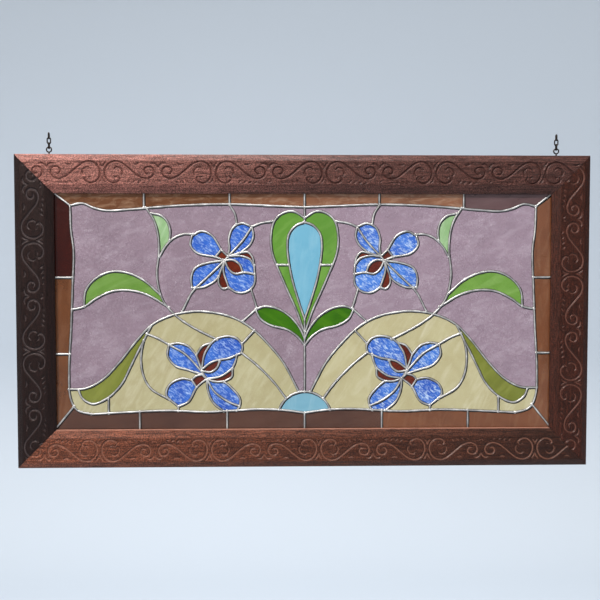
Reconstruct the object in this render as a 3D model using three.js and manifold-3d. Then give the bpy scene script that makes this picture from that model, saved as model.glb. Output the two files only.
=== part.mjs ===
// A leaded glass picture in a carved wooden frame, made to hang by two chains.
// Millimetres, +Z up, the front faces -Y. The origin is midway between the tops of the two chains.
import * as THREE from 'three';
import { mergeVertices } from 'three/addons/utils/BufferGeometryUtils.js';
import Module from 'manifold-3d';

const wasm = await Module();
wasm.setup();

// Driving sizes of the frame
const FRAME_WIDTH = 914;
const FRAME_HEIGHT = 498;
const RAIL_WIDTH = 61;
const RAIL_DEPTH = 20;
const BEVEL_WIDTH = 10;         // outer slope of the moulding
const BEVEL_DROP = 5;
const INNER_SLOPE_WIDTH = 13;   // inner slope, down to the glass
const INNER_SLOPE_DROP = 6;
const GROOVE_SETBACK = 4.8;     // wood behind the panel
const GROOVE_REACH = 7;         // how far the panel goes into the rails
const CLEARANCE = 0.3;          // between pieces that touch

// Driving sizes of the panel
const GLASS_THICKNESS = 3;
const SEAM_WIDTH = 4.8;
const SEAM_PROUD = 1.2;         // a seam stands this far off the glass, on both faces
const SEAM_LAP = 0.6;           // how far a seam's end runs on into the seam it meets
const SEAM_FLATNESS = 1.3;      // largest gap between a curve and its straight steps
const SEAM_TURN = 0.85;         // largest turn at one step, in radians

// Driving sizes of the carving: one motif is two scrolls, back to back
const MOTIF_LENGTH = 174.5;
const CARVING_WIDTH = 2.6;
const CARVING_DEPTH = 1.1;
const CARVING_FLATNESS = 1.8;
const CARVING_TURN = 1.2;
const TOP_MOTIF_SHIFT = 31;     // where a motif's middle lies from the middle of its rail
const FOOT_MOTIF_SHIFT = -22;
const RIGHT_MOTIF_SHIFT = 61;
const LEFT_MOTIF_SHIFT = -61;

// Driving sizes of the screw eyes and chains
const EYE_SETBACK = 54;         // from each end of the top rail
const EYE_WIRE = 2.2;
const EYE_RING = 7.8;           // across the middle of the ring's wire
const EYE_NECK = 2.5;           // from the rail to the ring
const SHANK_LENGTH = 14;
const LINK_WIRE = 2;
const LINK_LENGTH = 9.5;        // between the middles of a link's ends
const LINK_WIDTH = 5.3;
const LINK_COUNT = 3;
const LINK_BITE = 0.15;         // how far fused links sink into each other

const HALF_WIDTH = FRAME_WIDTH / 2;
const HALF_HEIGHT = FRAME_HEIGHT / 2;
const SIGHT_X = HALF_WIDTH - RAIL_WIDTH;
const SIGHT_Z = HALF_HEIGHT - RAIL_WIDTH;
const SEAM_DEPTH = GLASS_THICKNESS + 2 * SEAM_PROUD;
const GROOVE_WIDTH = SEAM_DEPTH + 2 * CLEARANCE;
const PANEL_Y = RAIL_DEPTH - GROOVE_SETBACK - GROOVE_WIDTH / 2;   // middle of the glass, from the front
const SEAM_CUT = SEAM_WIDTH + 2 * CLEARANCE;
const EYE_SPACING = FRAME_WIDTH - 2 * EYE_SETBACK;
const EYE_HEIGHT = EYE_NECK + EYE_WIRE / 2 + EYE_RING / 2;
const LINK_PITCH = LINK_LENGTH - LINK_WIRE + LINK_BITE;
const FIRST_LINK = EYE_HEIGHT + EYE_RING / 2 + LINK_LENGTH / 2 - (EYE_WIRE + LINK_WIRE) / 2 - CLEARANCE;
const CHAIN_TOP = FIRST_LINK + (LINK_COUNT - 1) * LINK_PITCH + LINK_LENGTH / 2 + LINK_WIRE / 2;

// Plain materials
const paint = (color, roughness, metalness = 0, opacity = 1) => new THREE.MeshStandardMaterial({
  color, roughness, metalness, opacity, transparent: opacity < 1,
});
const MATERIALS = {
  wood: paint(0x6e3a30, 0.55),
  leading: paint(0xb4b0aa, 0.4, 0.9),
  dark_metal: paint(0x2a2623, 0.5, 0.8),
  amber: paint(0x7d4e32, 0.1, 0, 0.8),
  mauve: paint(0xa38c9b, 0.2, 0, 0.8),
  yellow: paint(0xc4bc8e, 0.15, 0, 0.8),
  green: paint(0x709e42, 0.15, 0, 0.8),
  pale_green: paint(0xa0cd8c, 0.15, 0, 0.8),
  dark_green: paint(0x3e7d08, 0.15, 0, 0.8),
  olive: paint(0x788732, 0.15, 0, 0.8),
  blue: paint(0x4673d7, 0.15, 0, 0.8),
  light_blue: paint(0x76bcd6, 0.15, 0, 0.8),
};

// Solids: every shape is made by three.js and joined or cut as a closed body
function solid(geometry) {
  const bare = geometry.clone();
  bare.deleteAttribute('normal');
  bare.deleteAttribute('uv');
  const merged = mergeVertices(bare, 1e-4);
  const count = merged.attributes.position.count;
  const index = merged.index ? merged.index.array : Array.from({ length: count }, (_, i) => i);
  return new wasm.Manifold(new wasm.Mesh({
    numProp: 3,
    vertProperties: new Float32Array(merged.attributes.position.array),
    triVerts: new Uint32Array(index),
  }));
}

function geometryOf(body) {
  const mesh = body.getMesh();
  const geometry = new THREE.BufferGeometry();
  const places = [];
  for (let i = 0; i < mesh.vertProperties.length; i += mesh.numProp) {
    places.push(...mesh.vertProperties.slice(i, i + 3));
  }
  geometry.setAttribute('position', new THREE.Float32BufferAttribute(places, 3));
  geometry.setIndex(Array.from(mesh.triVerts));
  return geometry;
}

// A closed mesh from rings of equal length, each ring one section along a path
function loft(rings, closed = false) {
  const size = rings[0].length;
  const places = rings.flat(2);
  const index = [];
  const last = closed ? rings.length : rings.length - 1;
  for (let i = 0; i < last; i += 1) {
    for (let j = 0; j < size; j += 1) {
      const a = i * size + j;
      const b = i * size + ((j + 1) % size);
      const c = ((i + 1) % rings.length) * size + j;
      const d = ((i + 1) % rings.length) * size + ((j + 1) % size);
      index.push(a, c, b, b, c, d);
    }
  }
  if (!closed) {
    const end = (rings.length - 1) * size;
    for (let j = 1; j < size - 1; j += 1) {
      index.push(0, j, j + 1);
      index.push(end, end + j + 1, end + j);
    }
  }
  const geometry = new THREE.BufferGeometry();
  geometry.setAttribute('position', new THREE.Float32BufferAttribute(places, 3));
  geometry.setIndex(index);
  return outward(geometry);
}

// Turns a closed mesh's faces outwards, told by the sign of its volume
function outward(geometry) {
  const at = geometry.attributes.position;
  const index = geometry.index.array;
  const [a, b, c] = [new THREE.Vector3(), new THREE.Vector3(), new THREE.Vector3()];
  let volume = 0;
  for (let i = 0; i < index.length; i += 3) {
    a.fromBufferAttribute(at, index[i]);
    b.fromBufferAttribute(at, index[i + 1]);
    c.fromBufferAttribute(at, index[i + 2]);
    volume += a.dot(b.cross(c));
  }
  if (volume < 0) {
    for (let i = 0; i < index.length; i += 3) {
      [index[i + 1], index[i + 2]] = [index[i + 2], index[i + 1]];
    }
  }
  return geometry;
}

// A smooth line through its points, stepped by how much it bends
function smooth(points, flatness = SEAM_FLATNESS, turn = SEAM_TURN) {
  const at = points.map(([x, z]) => new THREE.Vector3(x, 0, z));
  if (at.length === 2) return points;
  const curve = new THREE.CatmullRomCurve3(at, false, 'centripetal');
  const fine = Array.from({ length: (at.length - 1) * 24 + 1 }, (_, i) => curve.getPoint(i / ((at.length - 1) * 24)));
  const kept = [0];
  let from = 0;
  while (from < fine.length - 1) {
    let to = from + 1;
    while (to + 1 < fine.length && fits(fine, from, to + 1, flatness, turn)) to += 1;
    kept.push(to);
    from = to;
  }
  return kept.map((i) => [fine[i].x, fine[i].z]);
}

// Whether one straight step can stand for a stretch of a fine line
function fits(fine, from, to, flatness, turn) {
  const chord = fine[to].clone().sub(fine[from]);
  const length = chord.length();
  chord.divideScalar(length);
  const start = fine[from + 1].clone().sub(fine[from]).normalize();
  const end = fine[to].clone().sub(fine[to - 1]).normalize();
  if (Math.acos(Math.min(1, start.dot(end))) > turn) return false;
  for (let i = from + 1; i < to; i += 1) {
    const away = fine[i].clone().sub(fine[from]);
    if (away.addScaledVector(chord, -away.dot(chord)).length() > flatness) return false;
  }
  return true;
}

// Left and right edges of a band along a stepped line, mitred at its steps
function bandEdges(path, half, lap) {
  const points = path.map(([x, z]) => new THREE.Vector2(x, z));
  const first = points[0].clone().sub(points[1]).setLength(lap);
  const last = points.at(-1).clone().sub(points.at(-2)).setLength(lap);
  points[0].add(first);
  points.at(-1).add(last);
  return points.map((point, i) => {
    const before = point.clone().sub(points[Math.max(i - 1, 0)]);
    const after = points[Math.min(i + 1, points.length - 1)].clone().sub(point);
    if (i === 0) before.copy(after);
    if (i === points.length - 1) after.copy(before);
    before.normalize();
    after.normalize();
    const along = before.clone().add(after).normalize();
    const side = new THREE.Vector2(-along.y, along.x).multiplyScalar(half / Math.max(along.dot(after), 0.5));
    return [point.clone().add(side), point.clone().sub(side)];
  });
}

// A flat bar along a line in the plane of the panel, between two depths
function bar(path, width, front, back, lap) {
  const rings = bandEdges(path, width / 2, lap).map(([left, right]) => [
    [left.x, front, left.y], [right.x, front, right.y], [right.x, back, right.y], [left.x, back, left.y],
  ]);
  return solid(loft(rings));
}

const join = (bodies) => bodies.reduce((whole, body) => whole.add(body));

function block(x0, x1, y0, y1, z0, z1) {
  const box = new THREE.BoxGeometry(x1 - x0, y1 - y0, z1 - z0);
  box.translate((x0 + x1) / 2, (y0 + y1) / 2, (z0 + z1) / 2);
  return solid(box);
}

// The picture's lines, drawn for the right half of a sight opening of DRAWN_X by DRAWN_Z from its middle
const DRAWN_X = 391;
const DRAWN_Z = 188;
const FOOT_ARC_RADIUS = 42.8;
const FOOT_ARC_CENTRE = -171.4;
const FOOT_ARC_END = -158;

const EDGE_LINES = {
  head: [[0, 167], [50, 168.8], [118, 171.4], [200, 169], [278, 162.7], [311, 161.2], [330, 165.3], [348, 172.5],
    [367, 169]],
  side: [[367, 169], [366, 131], [362.3, 97], [364.3, 45], [367.5, -24], [371.5, -95], [369.5, -138],
    [359.5, -157], [337, -163.8]],
  foot: [[337, -163.8], [295, -161.5], [214, -158.5], [158, -161], [113, -159], [77, -157], [40, -158], [0, -163]],
  mitre_head: [[400, 195], [367, 169]],
  mitre_foot: [[400, -195], [364, -150.5]],
};
const STEM_LINES = {
  stem: [[249, 166], [237, 147], [230.5, 124], [229, 96], [232.5, 58], [224, 20], [205, -4], [179, -23],
    [138, -44.5]],
  upper_hoop: [[175.5, 123.5], [189.2, 124], [204.6, 118.5], [218, 105.5], [228.5, 88]],
  lower_hoop: [[242, -22], [254, -47], [258.5, -75], [254.5, -103], [243, -123], [213.5, -141]],
  lower_stem: [[249, -35], [232, -42], [214, -52.5]],
  arch: [[372, -123.5], [345, -122], [319, -108], [293.5, -81.7], [262, -42], [240, -20], [210, -5.5],
    [175, 0.8], [143, -1.3], [112, -9.5], [84, -26], [56.5, -53], [33.5, -82], [9, -129]],
  arch_tie: [[99, -51], [80, -30]],
  slope: [[99.5, -66], [77, -84.3], [48.6, -113.6], [29.5, -139.5]],
  head_tie: [[118.7, 171], [109.7, 156], [106.8, 140]],
  heart_tie: [[83.2, 135.7], [69.5, 141.3], [50, 144.5]],
  leaf_tie: [[84.8, 36.4], [80.8, 23.6], [75.5, 6]],
  foot_tie: [[200, -152], [200, -159.5]],
};
const LEAF_LINES = {
  pale_leaf: [[241, 157], [226, 153.5], [215.5, 143.5], [211.3, 129], [212.2, 114]],
  crescent_over: [[347, 8.5], [344, 34.5], [329, 53], [306, 64], [282, 63.2], [254, 51], [227.5, 27.7]],
  crescent_under: [[366, 4], [347, 8.5], [329, 21], [303, 33], [276, 34.5], [247, 27], [214, 7]],
  heart: [[0, 150], [18, 160.3], [33, 158], [47, 146], [53.1, 119], [50.4, 92], [40.5, 66], [26, 32], [12.5, 1.5],
    [1, -32]],
  drop: [[0, 143.3], [13.5, 138], [24.5, 124.5], [27.3, 104], [21.5, 60], [11.5, 23], [0, -12]],
  dark_leaf_over: [[77.5, 3.5], [65, 8.5], [44, 5.5], [23, -7.5], [8, -26], [0, -43]],
  dark_leaf_under: [[77.5, 3.5], [70, -11], [53.5, -21.7], [27, -29], [10, -41], [0, -54]],
  dark_leaf_link: [[77.5, 3.5], [98, -15]],
  olive_under: [[254, -46], [263, -63], [276, -89.5], [289, -115], [311, -137.5], [335, -147.3], [351, -138],
    [357, -124.5]],
  olive_tie: [[310, -138], [310, -162.5]],
};
const UPPER_FLOWER = {
  left_over: [[177, 121.5], [163.1, 128.6], [146.8, 122.5], [136.5, 108.5], [131.6, 99]],
  left_under: [[177, 121.5], [179.9, 107], [169, 94], [140.6, 87.7]],
  left_base_over: [[131.6, 99], [120.5, 88.5]],
  left_base_under: [[140.6, 87.7], [126.1, 82]],
  tall_left: [[120.5, 88.5], [118.6, 103], [119.4, 117], [112.7, 134.5], [98.6, 141.4], [83.2, 135.7]],
  tall_right: [[83.2, 135.7], [80.7, 122], [85.8, 107.9], [100.9, 94.5]],
  low_over: [[126.1, 82], [153.5, 78], [172.5, 70], [178.8, 55], [177.6, 38.6]],
  low_under: [[177.6, 38.6], [161.2, 39.3], [142.7, 48.5], [135.7, 56]],
  low_stem: [[171.8, 38.5], [178.8, 29.5], [193.5, 0.5]],
  brown_under: [[135.7, 56], [135.4, 45], [128.9, 36.8], [119.9, 39]],
  big_round: [[119.9, 39], [107.3, 31.2], [91.8, 32], [79.7, 44], [79.5, 74]],
  brown_over: [[100.9, 94.5], [89.3, 95.3], [82, 86.5], [79.5, 74]],
};
const UPPER_FLOWER_INNER = {
  left_base: [[131.6, 99], [140.6, 87.7]],
  centre: [[126.1, 82], [120.5, 88.5]],
  tall_vein: [[83.2, 135.7], [96.7, 115], [120.5, 88.5]],
  tall_foot: [[100.9, 94.5], [120.5, 88.5]],
  low_vein: [[126.1, 82], [153.8, 55], [171.8, 38.5]],
  low_side: [[135.7, 56], [132.8, 64], [126.1, 82]],
  big_side: [[126.1, 82], [128.1, 66.4], [119.9, 39]],
  big_head: [[79.5, 74], [86.5, 84.3], [102.6, 89.5], [120.5, 88.5]],
  lens_over: [[126.1, 82], [113.7, 83], [102.8, 76], [97.6, 63]],
  lens_under: [[126.1, 82], [119.3, 68], [109.7, 60.9], [97.6, 63]],
  lens_tie: [[97.6, 63], [89, 62.3], [79, 60]],
};
const LOWER_FLOWER = {
  left_over: [[214.5, -52.5], [200, -50], [184, -55], [171.5, -69]],
  left_under: [[214.5, -52.5], [216.5, -70], [204, -86.5], [185, -93], [162, -100.5]],
  brown_over: [[171.5, -69], [161, -54.5], [148, -50]],
  big_round: [[148, -50], [138, -42.6], [121, -39.2], [106, -43.5], [98.5, -55], [101, -66], [107.5, -69]],
  big_low: [[107.5, -69], [109.5, -79], [114.6, -91]],
  brown_side: [[114.6, -91], [115.5, -104], [128, -112]],
  right_over: [[128, -112], [117, -121], [102.5, -140], [104, -153], [108, -159.2]],
  right_under: [[155, -107.5], [152.8, -128], [145, -145.5], [128.5, -160]],
  low_over: [[178.6, -109.3], [195, -107], [214, -117], [219, -133], [200, -152]],
  low_under: [[200, -152], [184, -144], [171, -121], [155, -107.5]],
  low_base: [[178.6, -109.3], [172, -103], [162, -100.5]],
};
const LOWER_FLOWER_INNER = {
  left_vein: [[214.5, -52.5], [188.6, -67.9], [163.5, -95]],
  left_side: [[171.5, -69], [163.2, -92.8]],
  big_side: [[163, -92.5], [158.6, -67.9], [148, -50]],
  big_foot: [[107.5, -69], [120, -74.3], [146, -80], [163, -92.5]],
  centre: [[163, -92.5], [162, -100.5], [155, -107.5]],
  lens: [[134.5, -79], [139, -89.5], [148.5, -96.5], [162.8, -95]],
  lens_side: [[163, -92.5], [160, -100], [155, -107.5]],
  low_edge: [[114.6, -91], [133, -103.6], [155, -107.5]],
  right_head: [[128, -112], [142, -112], [155, -107.5]],
  right_vein: [[155, -107.5], [143, -128], [121, -144.5], [103.5, -152]],
  low_foot: [[178.6, -109.3], [171, -121]],
};
const HEART_INNER = { heart_bar: [[26, 75], [43.7, 75]] };
const BORDER_TICKS = {
  head_1: [[118, 196], [118, 171]],
  head_2: [[252, 196], [252, 166]],
  side_1: [[400, 55], [364, 55]],
  side_2: [[400, -67], [370, -67]],
  foot_1: [[123, -196], [123, -159]],
  foot_2: [[261, -196], [261, -160]],
};
const MIDDLE_LINES = {
  heart_notch: [[0, 151], [0, 143]],
  heart_foot: [[0, -12], [0, -129]],
};
const MIDDLE_TICKS = {
  head: [[0, 196], [0, 151]],
  foot: [[0, -196], [0, -163]],
};

// A point drawn for the right half, in the real opening; side is 1 for right, -1 for left
const place = ([x, z], side = 1) => [side * x * SIGHT_X / DRAWN_X, z * SIGHT_Z / DRAWN_Z];
const lineOn = (points, side) => smooth(points.map((point) => place(point, side)));

function bothSides(...groups) {
  return groups.flatMap((lines) => Object.values(lines)).flatMap((points) => [lineOn(points, 1), lineOn(points, -1)]);
}

function footArc() {
  const reach = Math.asin((FOOT_ARC_END - FOOT_ARC_CENTRE) / FOOT_ARC_RADIUS);
  const points = Array.from({ length: 7 }, (_, i) => {
    const angle = reach + (Math.PI - 2 * reach) * i / 6;
    return place([FOOT_ARC_RADIUS * Math.cos(angle), FOOT_ARC_CENTRE + FOOT_ARC_RADIUS * Math.sin(angle)]);
  });
  return smooth(points);
}

const DIVIDING_LINES = [
  ...bothSides(EDGE_LINES, STEM_LINES, LEAF_LINES, UPPER_FLOWER, LOWER_FLOWER),
  ...Object.values(MIDDLE_LINES).map((points) => lineOn(points, 1)),
  footArc(),
];
const BORDER_LINES = [
  ...bothSides(HEART_INNER, BORDER_TICKS),
  ...Object.values(MIDDLE_TICKS).map((points) => lineOn(points, 1)),
];
const CROSSING_LINES = [...bothSides(UPPER_FLOWER_INNER, LOWER_FLOWER_INNER), ...BORDER_LINES];

// The leading: full-depth bars between panes of different nodes, flat strips on both faces elsewhere,
// and the strip round the panel's edge
const PANEL_X = SIGHT_X + GROOVE_REACH - CLEARANCE;
const PANEL_Z = SIGHT_Z + GROOVE_REACH - CLEARANCE;
const GLASS_FRONT = PANEL_Y - GLASS_THICKNESS / 2;
const GLASS_BACK = PANEL_Y + GLASS_THICKNESS / 2;
const SEAM_FRONT = PANEL_Y - SEAM_DEPTH / 2;
const SEAM_BACK = PANEL_Y + SEAM_DEPTH / 2;

function edgeStrip() {
  const outer = block(-PANEL_X, PANEL_X, SEAM_FRONT, SEAM_BACK, -PANEL_Z, PANEL_Z);
  const x = PANEL_X - SEAM_WIDTH;
  const z = PANEL_Z - SEAM_WIDTH;
  return outer.subtract(block(-x, x, SEAM_FRONT - 1, SEAM_BACK + 1, -z, z));
}

function makeLeading() {
  const bars = DIVIDING_LINES.map((path) => bar(path, SEAM_WIDTH, SEAM_FRONT, SEAM_BACK, SEAM_LAP));
  const strips = [
    ...CROSSING_LINES.map((path) => bar(path, SEAM_WIDTH, SEAM_FRONT, GLASS_FRONT - CLEARANCE, SEAM_LAP)),
    ...BORDER_LINES.map((path) => bar(path, SEAM_WIDTH, GLASS_BACK + CLEARANCE, SEAM_BACK, SEAM_LAP)),
  ];
  const panel = block(-PANEL_X, PANEL_X, SEAM_FRONT, SEAM_BACK, -PANEL_Z, PANEL_Z);
  return join([...bars, ...strips]).intersect(panel).add(edgeStrip());
}

// The glass: one sheet cut along the dividing lines, each pane named by a point inside it
const PANES = {
  amber: { border_side: [380, 20] },
  mauve: {
    field_head: [290, 120], field_side: [320, -30], field_over_flower: [160, 150], field_in_hoop: [205, 75],
    field_under_flower: [150, 15], field_beside_drop: [65, 50], field_under_leaf: [40, -45],
  },
  yellow: {
    ground_corner: [340, -155], ground_side: [285, -125], ground_in_hoop: [240, -75], ground_under_arch: [200, -30],
    ground_over_petal: [115, -25], ground_arch_band: [60, -82], ground_beside_middle: [70, -130],
    ground_between_petals: [165, -145],
  },
  green: { crescent_leaf: [306, 50], heart_side: [40, 120] },
  pale_green: { pale_leaf: [224, 130] },
  dark_green: { dark_leaf: [55, -5] },
  olive: { olive_leaf: [310, -120] },
  blue: { flower_upper: [100, 50], flower_lower: [120, -60] },
};
const MIDDLE_PANES = {
  amber: { border_head: [60, 180], border_foot: [60, -175] },
  mauve: { field_over_heart: [70, 155] },
  light_blue: { drop: [0, 100], foot_half_circle: [0, -145] },
};

function paneHolds(body, [x, z]) {
  const mesh = body.getMesh();
  const at = (i) => [mesh.vertProperties[i * mesh.numProp], mesh.vertProperties[i * mesh.numProp + 1],
    mesh.vertProperties[i * mesh.numProp + 2]];
  const cross = (a, b) => (b[0] - a[0]) * (z - a[2]) - (b[2] - a[2]) * (x - a[0]);
  for (let i = 0; i < mesh.triVerts.length; i += 3) {
    const [a, b, c] = [at(mesh.triVerts[i]), at(mesh.triVerts[i + 1]), at(mesh.triVerts[i + 2])];
    const sides = [cross(a, b), cross(b, c), cross(c, a)];
    if (sides.every((s) => s > 1e-9) || sides.every((s) => s < -1e-9)) return true;
  }
  return false;
}

function makePanes() {
  const x = PANEL_X - SEAM_WIDTH - CLEARANCE;
  const z = PANEL_Z - SEAM_WIDTH - CLEARANCE;
  const sheet = block(-x, x, GLASS_FRONT, GLASS_BACK, -z, z);
  const cuts = DIVIDING_LINES.map((path) => bar(path, SEAM_CUT, SEAM_FRONT - 1, SEAM_BACK + 1, SEAM_LAP));
  return sheet.subtract(join(cuts)).decompose();
}

// Rails: the moulding's section runs along X from the outer edge (z = 0) to the sight edge (z = -RAIL_WIDTH)
function mouldingSection() {
  const foot = -RAIL_WIDTH;
  const grooveTop = foot + GROOVE_REACH;
  const grooveFront = PANEL_Y - GROOVE_WIDTH / 2;
  const grooveBack = PANEL_Y + GROOVE_WIDTH / 2;
  return [
    [BEVEL_DROP, 0], [0, -BEVEL_WIDTH], [0, foot + INNER_SLOPE_WIDTH], [INNER_SLOPE_DROP, foot],
    [grooveFront, foot], [grooveFront, grooveTop], [grooveBack, grooveTop], [grooveBack, foot],
    [RAIL_DEPTH, foot], [RAIL_DEPTH, 0],
  ];
}

// One scroll of the carving: a large curl that runs over and down into a small curl.
// Drawn for a motif of DRAWN_MOTIF from its middle, across a carved band of DRAWN_BAND
const DRAWN_MOTIF = 174.5;
const DRAWN_BAND = 38;
const SCROLL = [[29, -13], [20, -16.5], [9, -12], [4.5, 0], [10, 11.5], [22, 16.5], [34, 13], [57, -6], [69, -9],
  [78, -2], [74, 6]];

function scrolls(length, shift) {
  const band = RAIL_WIDTH - BEVEL_WIDTH - INNER_SLOPE_WIDTH;
  const middle = -BEVEL_WIDTH - band / 2;
  const count = Math.ceil(length / MOTIF_LENGTH / 2) + 1;
  const grooves = [];
  for (let i = -count; i <= count; i += 1) {
    for (const side of [-1, 1]) {
      const path = smooth(SCROLL.map(([x, z]) => [
        shift + i * MOTIF_LENGTH + side * x * MOTIF_LENGTH / DRAWN_MOTIF, middle + z * band / DRAWN_BAND,
      ]), CARVING_FLATNESS, CARVING_TURN);
      if (path.some(([x]) => Math.abs(x) < length / 2)) grooves.push(groove(path));
    }
  }
  return join(grooves);
}

// A V-shaped cut along a line on the front face
function groove(path) {
  const above = CARVING_DEPTH / 2;
  const half = CARVING_WIDTH / 2 * (CARVING_DEPTH + above) / CARVING_DEPTH;
  const rings = bandEdges(path, half, 0).map(([left, right]) => [
    [left.x, -above, left.y], [right.x, -above, right.y],
    [(left.x + right.x) / 2, CARVING_DEPTH, (left.y + right.y) / 2],
  ]);
  return solid(loft(rings));
}

function makeRail(length, shift) {
  const half = length / 2;
  const section = mouldingSection();
  const run = solid(loft([-half, half].map((x) => section.map(([y, z]) => [x, y, z]))));
  return run.subtract(scrolls(length, shift)).intersect(mitredWedge(length));
}

// What the mitres leave of a rail, with half the clearance at each end
function mitredWedge(length) {
  const half = length / 2;
  const gap = CLEARANCE / Math.SQRT2;
  const over = 1;
  const corners = [[-half + gap - over, over], [half - gap + over, over],
    [half - gap - RAIL_WIDTH - over, -RAIL_WIDTH - over], [-half + gap + RAIL_WIDTH + over, -RAIL_WIDTH - over]];
  return solid(loft([-over, RAIL_DEPTH + over].map((y) => corners.map(([x, z]) => [x, y, z]))));
}

// Metal: a ring, a screw eye with its shank, and a chain of links fused where they bear on each other
const WIRE_SIDES = 4;
const RING_STEPS = 8;
const RING_SWELL = 1 / Math.cos(Math.PI / RING_STEPS);   // keeps the flats of a stepped ring at full size

// Wire along a closed flat ring of points, given the direction square to the ring
function ringOfWire(points, wire, square) {
  const across = new THREE.Vector3(...square);
  const rings = points.map((point, i) => {
    const next = new THREE.Vector3(...points[(i + 1) % points.length]);
    const before = new THREE.Vector3(...points.at(i - 1));
    const out = next.sub(before).cross(across).normalize();
    return Array.from({ length: WIRE_SIDES }, (_, j) => {
      const angle = 2 * Math.PI * j / WIRE_SIDES;
      return new THREE.Vector3(...point)
        .addScaledVector(out, Math.cos(angle) * RING_SWELL * wire / 2)
        .addScaledVector(across, Math.sin(angle) * wire / 2).toArray();
    });
  });
  return solid(loft(rings, true));
}

function link(height, across) {
  const straight = (LINK_LENGTH - LINK_WIDTH) / 2;
  const points = Array.from({ length: RING_STEPS }, (_, i) => {
    const angle = 2 * Math.PI * (i + 0.5) / RING_STEPS;
    const side = LINK_WIDTH / 2 * RING_SWELL * Math.cos(angle);
    const up = LINK_WIDTH / 2 * RING_SWELL * Math.sin(angle) + Math.sign(Math.sin(angle)) * straight;
    return across ? [side, 0, height + up] : [0, side, height + up];
  });
  return ringOfWire(points, LINK_WIRE, across ? [0, 1, 0] : [1, 0, 0]);
}

function makeEye() {
  const ring = Array.from({ length: RING_STEPS }, (_, i) => {
    const angle = 2 * Math.PI * (i + 0.5) / RING_STEPS;
    const reach = EYE_RING / 2 * RING_SWELL;
    return [reach * Math.cos(angle), 0, EYE_HEIGHT + reach * Math.sin(angle)];
  });
  const top = EYE_HEIGHT - EYE_RING / 2 + EYE_WIRE / 4;
  const shank = new THREE.CylinderGeometry(EYE_WIRE / 2, EYE_WIRE / 2, top + SHANK_LENGTH, 8);
  shank.rotateX(Math.PI / 2);
  shank.translate(0, 0, (top - SHANK_LENGTH) / 2);
  return ringOfWire(ring, EYE_WIRE, [0, 1, 0]).add(solid(shank));
}

function makeChain() {
  const links = Array.from({ length: LINK_COUNT }, (_, i) => link(FIRST_LINK + i * LINK_PITCH, i % 2 === 1));
  return join(links);
}

function shankHole() {
  const hole = new THREE.CylinderGeometry(EYE_WIRE / 2 + CLEARANCE, EYE_WIRE / 2 + CLEARANCE, 2 * SHANK_LENGTH + 1, 8);
  hole.rotateX(Math.PI / 2);
  return solid(hole);
}

// Assembly
const window_ = new THREE.Group();

function put(name, body, material, position = [0, 0, 0], turn = 0) {
  const mesh = new THREE.Mesh(geometryOf(body), MATERIALS[material]);
  mesh.name = name;
  mesh.position.set(...position);
  mesh.rotation.y = turn;
  window_.add(mesh);
}

const MIDDLE_OF_FRAME = [0, -RAIL_DEPTH / 2, -CHAIN_TOP - HALF_HEIGHT];
const eyeHoles = [-1, 1].map((side) => shankHole().translate([side * EYE_SPACING / 2, RAIL_DEPTH / 2, 0]));
const frameAt = (x, z) => [MIDDLE_OF_FRAME[0] + x, MIDDLE_OF_FRAME[1], MIDDLE_OF_FRAME[2] + z];

put('rail_top', makeRail(FRAME_WIDTH, TOP_MOTIF_SHIFT).subtract(join(eyeHoles)), 'wood', frameAt(0, HALF_HEIGHT));
put('rail_bottom', makeRail(FRAME_WIDTH, FOOT_MOTIF_SHIFT), 'wood', frameAt(0, -HALF_HEIGHT), Math.PI);
put('rail_right', makeRail(FRAME_HEIGHT, -RIGHT_MOTIF_SHIFT), 'wood', frameAt(HALF_WIDTH, 0), Math.PI / 2);
put('rail_left', makeRail(FRAME_HEIGHT, LEFT_MOTIF_SHIFT), 'wood', frameAt(-HALF_WIDTH, 0), -Math.PI / 2);
put('leading', makeLeading(), 'leading', frameAt(0, 0));

const panes = makePanes();

function putPane(name, point, material) {
  const found = panes.filter((pane) => paneHolds(pane, point));
  if (found.length === 1) put(name, found[0], material, frameAt(0, 0));
}

for (const [material, points] of Object.entries(PANES)) {
  for (const [name, point] of Object.entries(points)) {
    putPane(`${name}_left`, place(point, -1), material);
    putPane(`${name}_right`, place(point, 1), material);
  }
}
for (const [material, points] of Object.entries(MIDDLE_PANES)) {
  for (const [name, point] of Object.entries(points)) putPane(name, place(point), material);
}

for (const [side, word] of [[-1, 'left'], [1, 'right']]) {
  const foot = frameAt(side * EYE_SPACING / 2, HALF_HEIGHT);
  foot[1] += RAIL_DEPTH / 2;
  put(`screw_eye_${word}`, makeEye(), 'dark_metal', foot);
  put(`chain_${word}`, makeChain(), 'dark_metal', foot);
}

export default window_;
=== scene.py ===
"""A leaded glass picture in a carved wooden frame, hung by two chains: fine shapes, finishes and light.

Metres, +Z up, the front faces -Y. The picture's lines are drawn in millimetres for its right half.
"""
import math

import bmesh
import bpy
import numpy as np
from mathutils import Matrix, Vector, geometry


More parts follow.
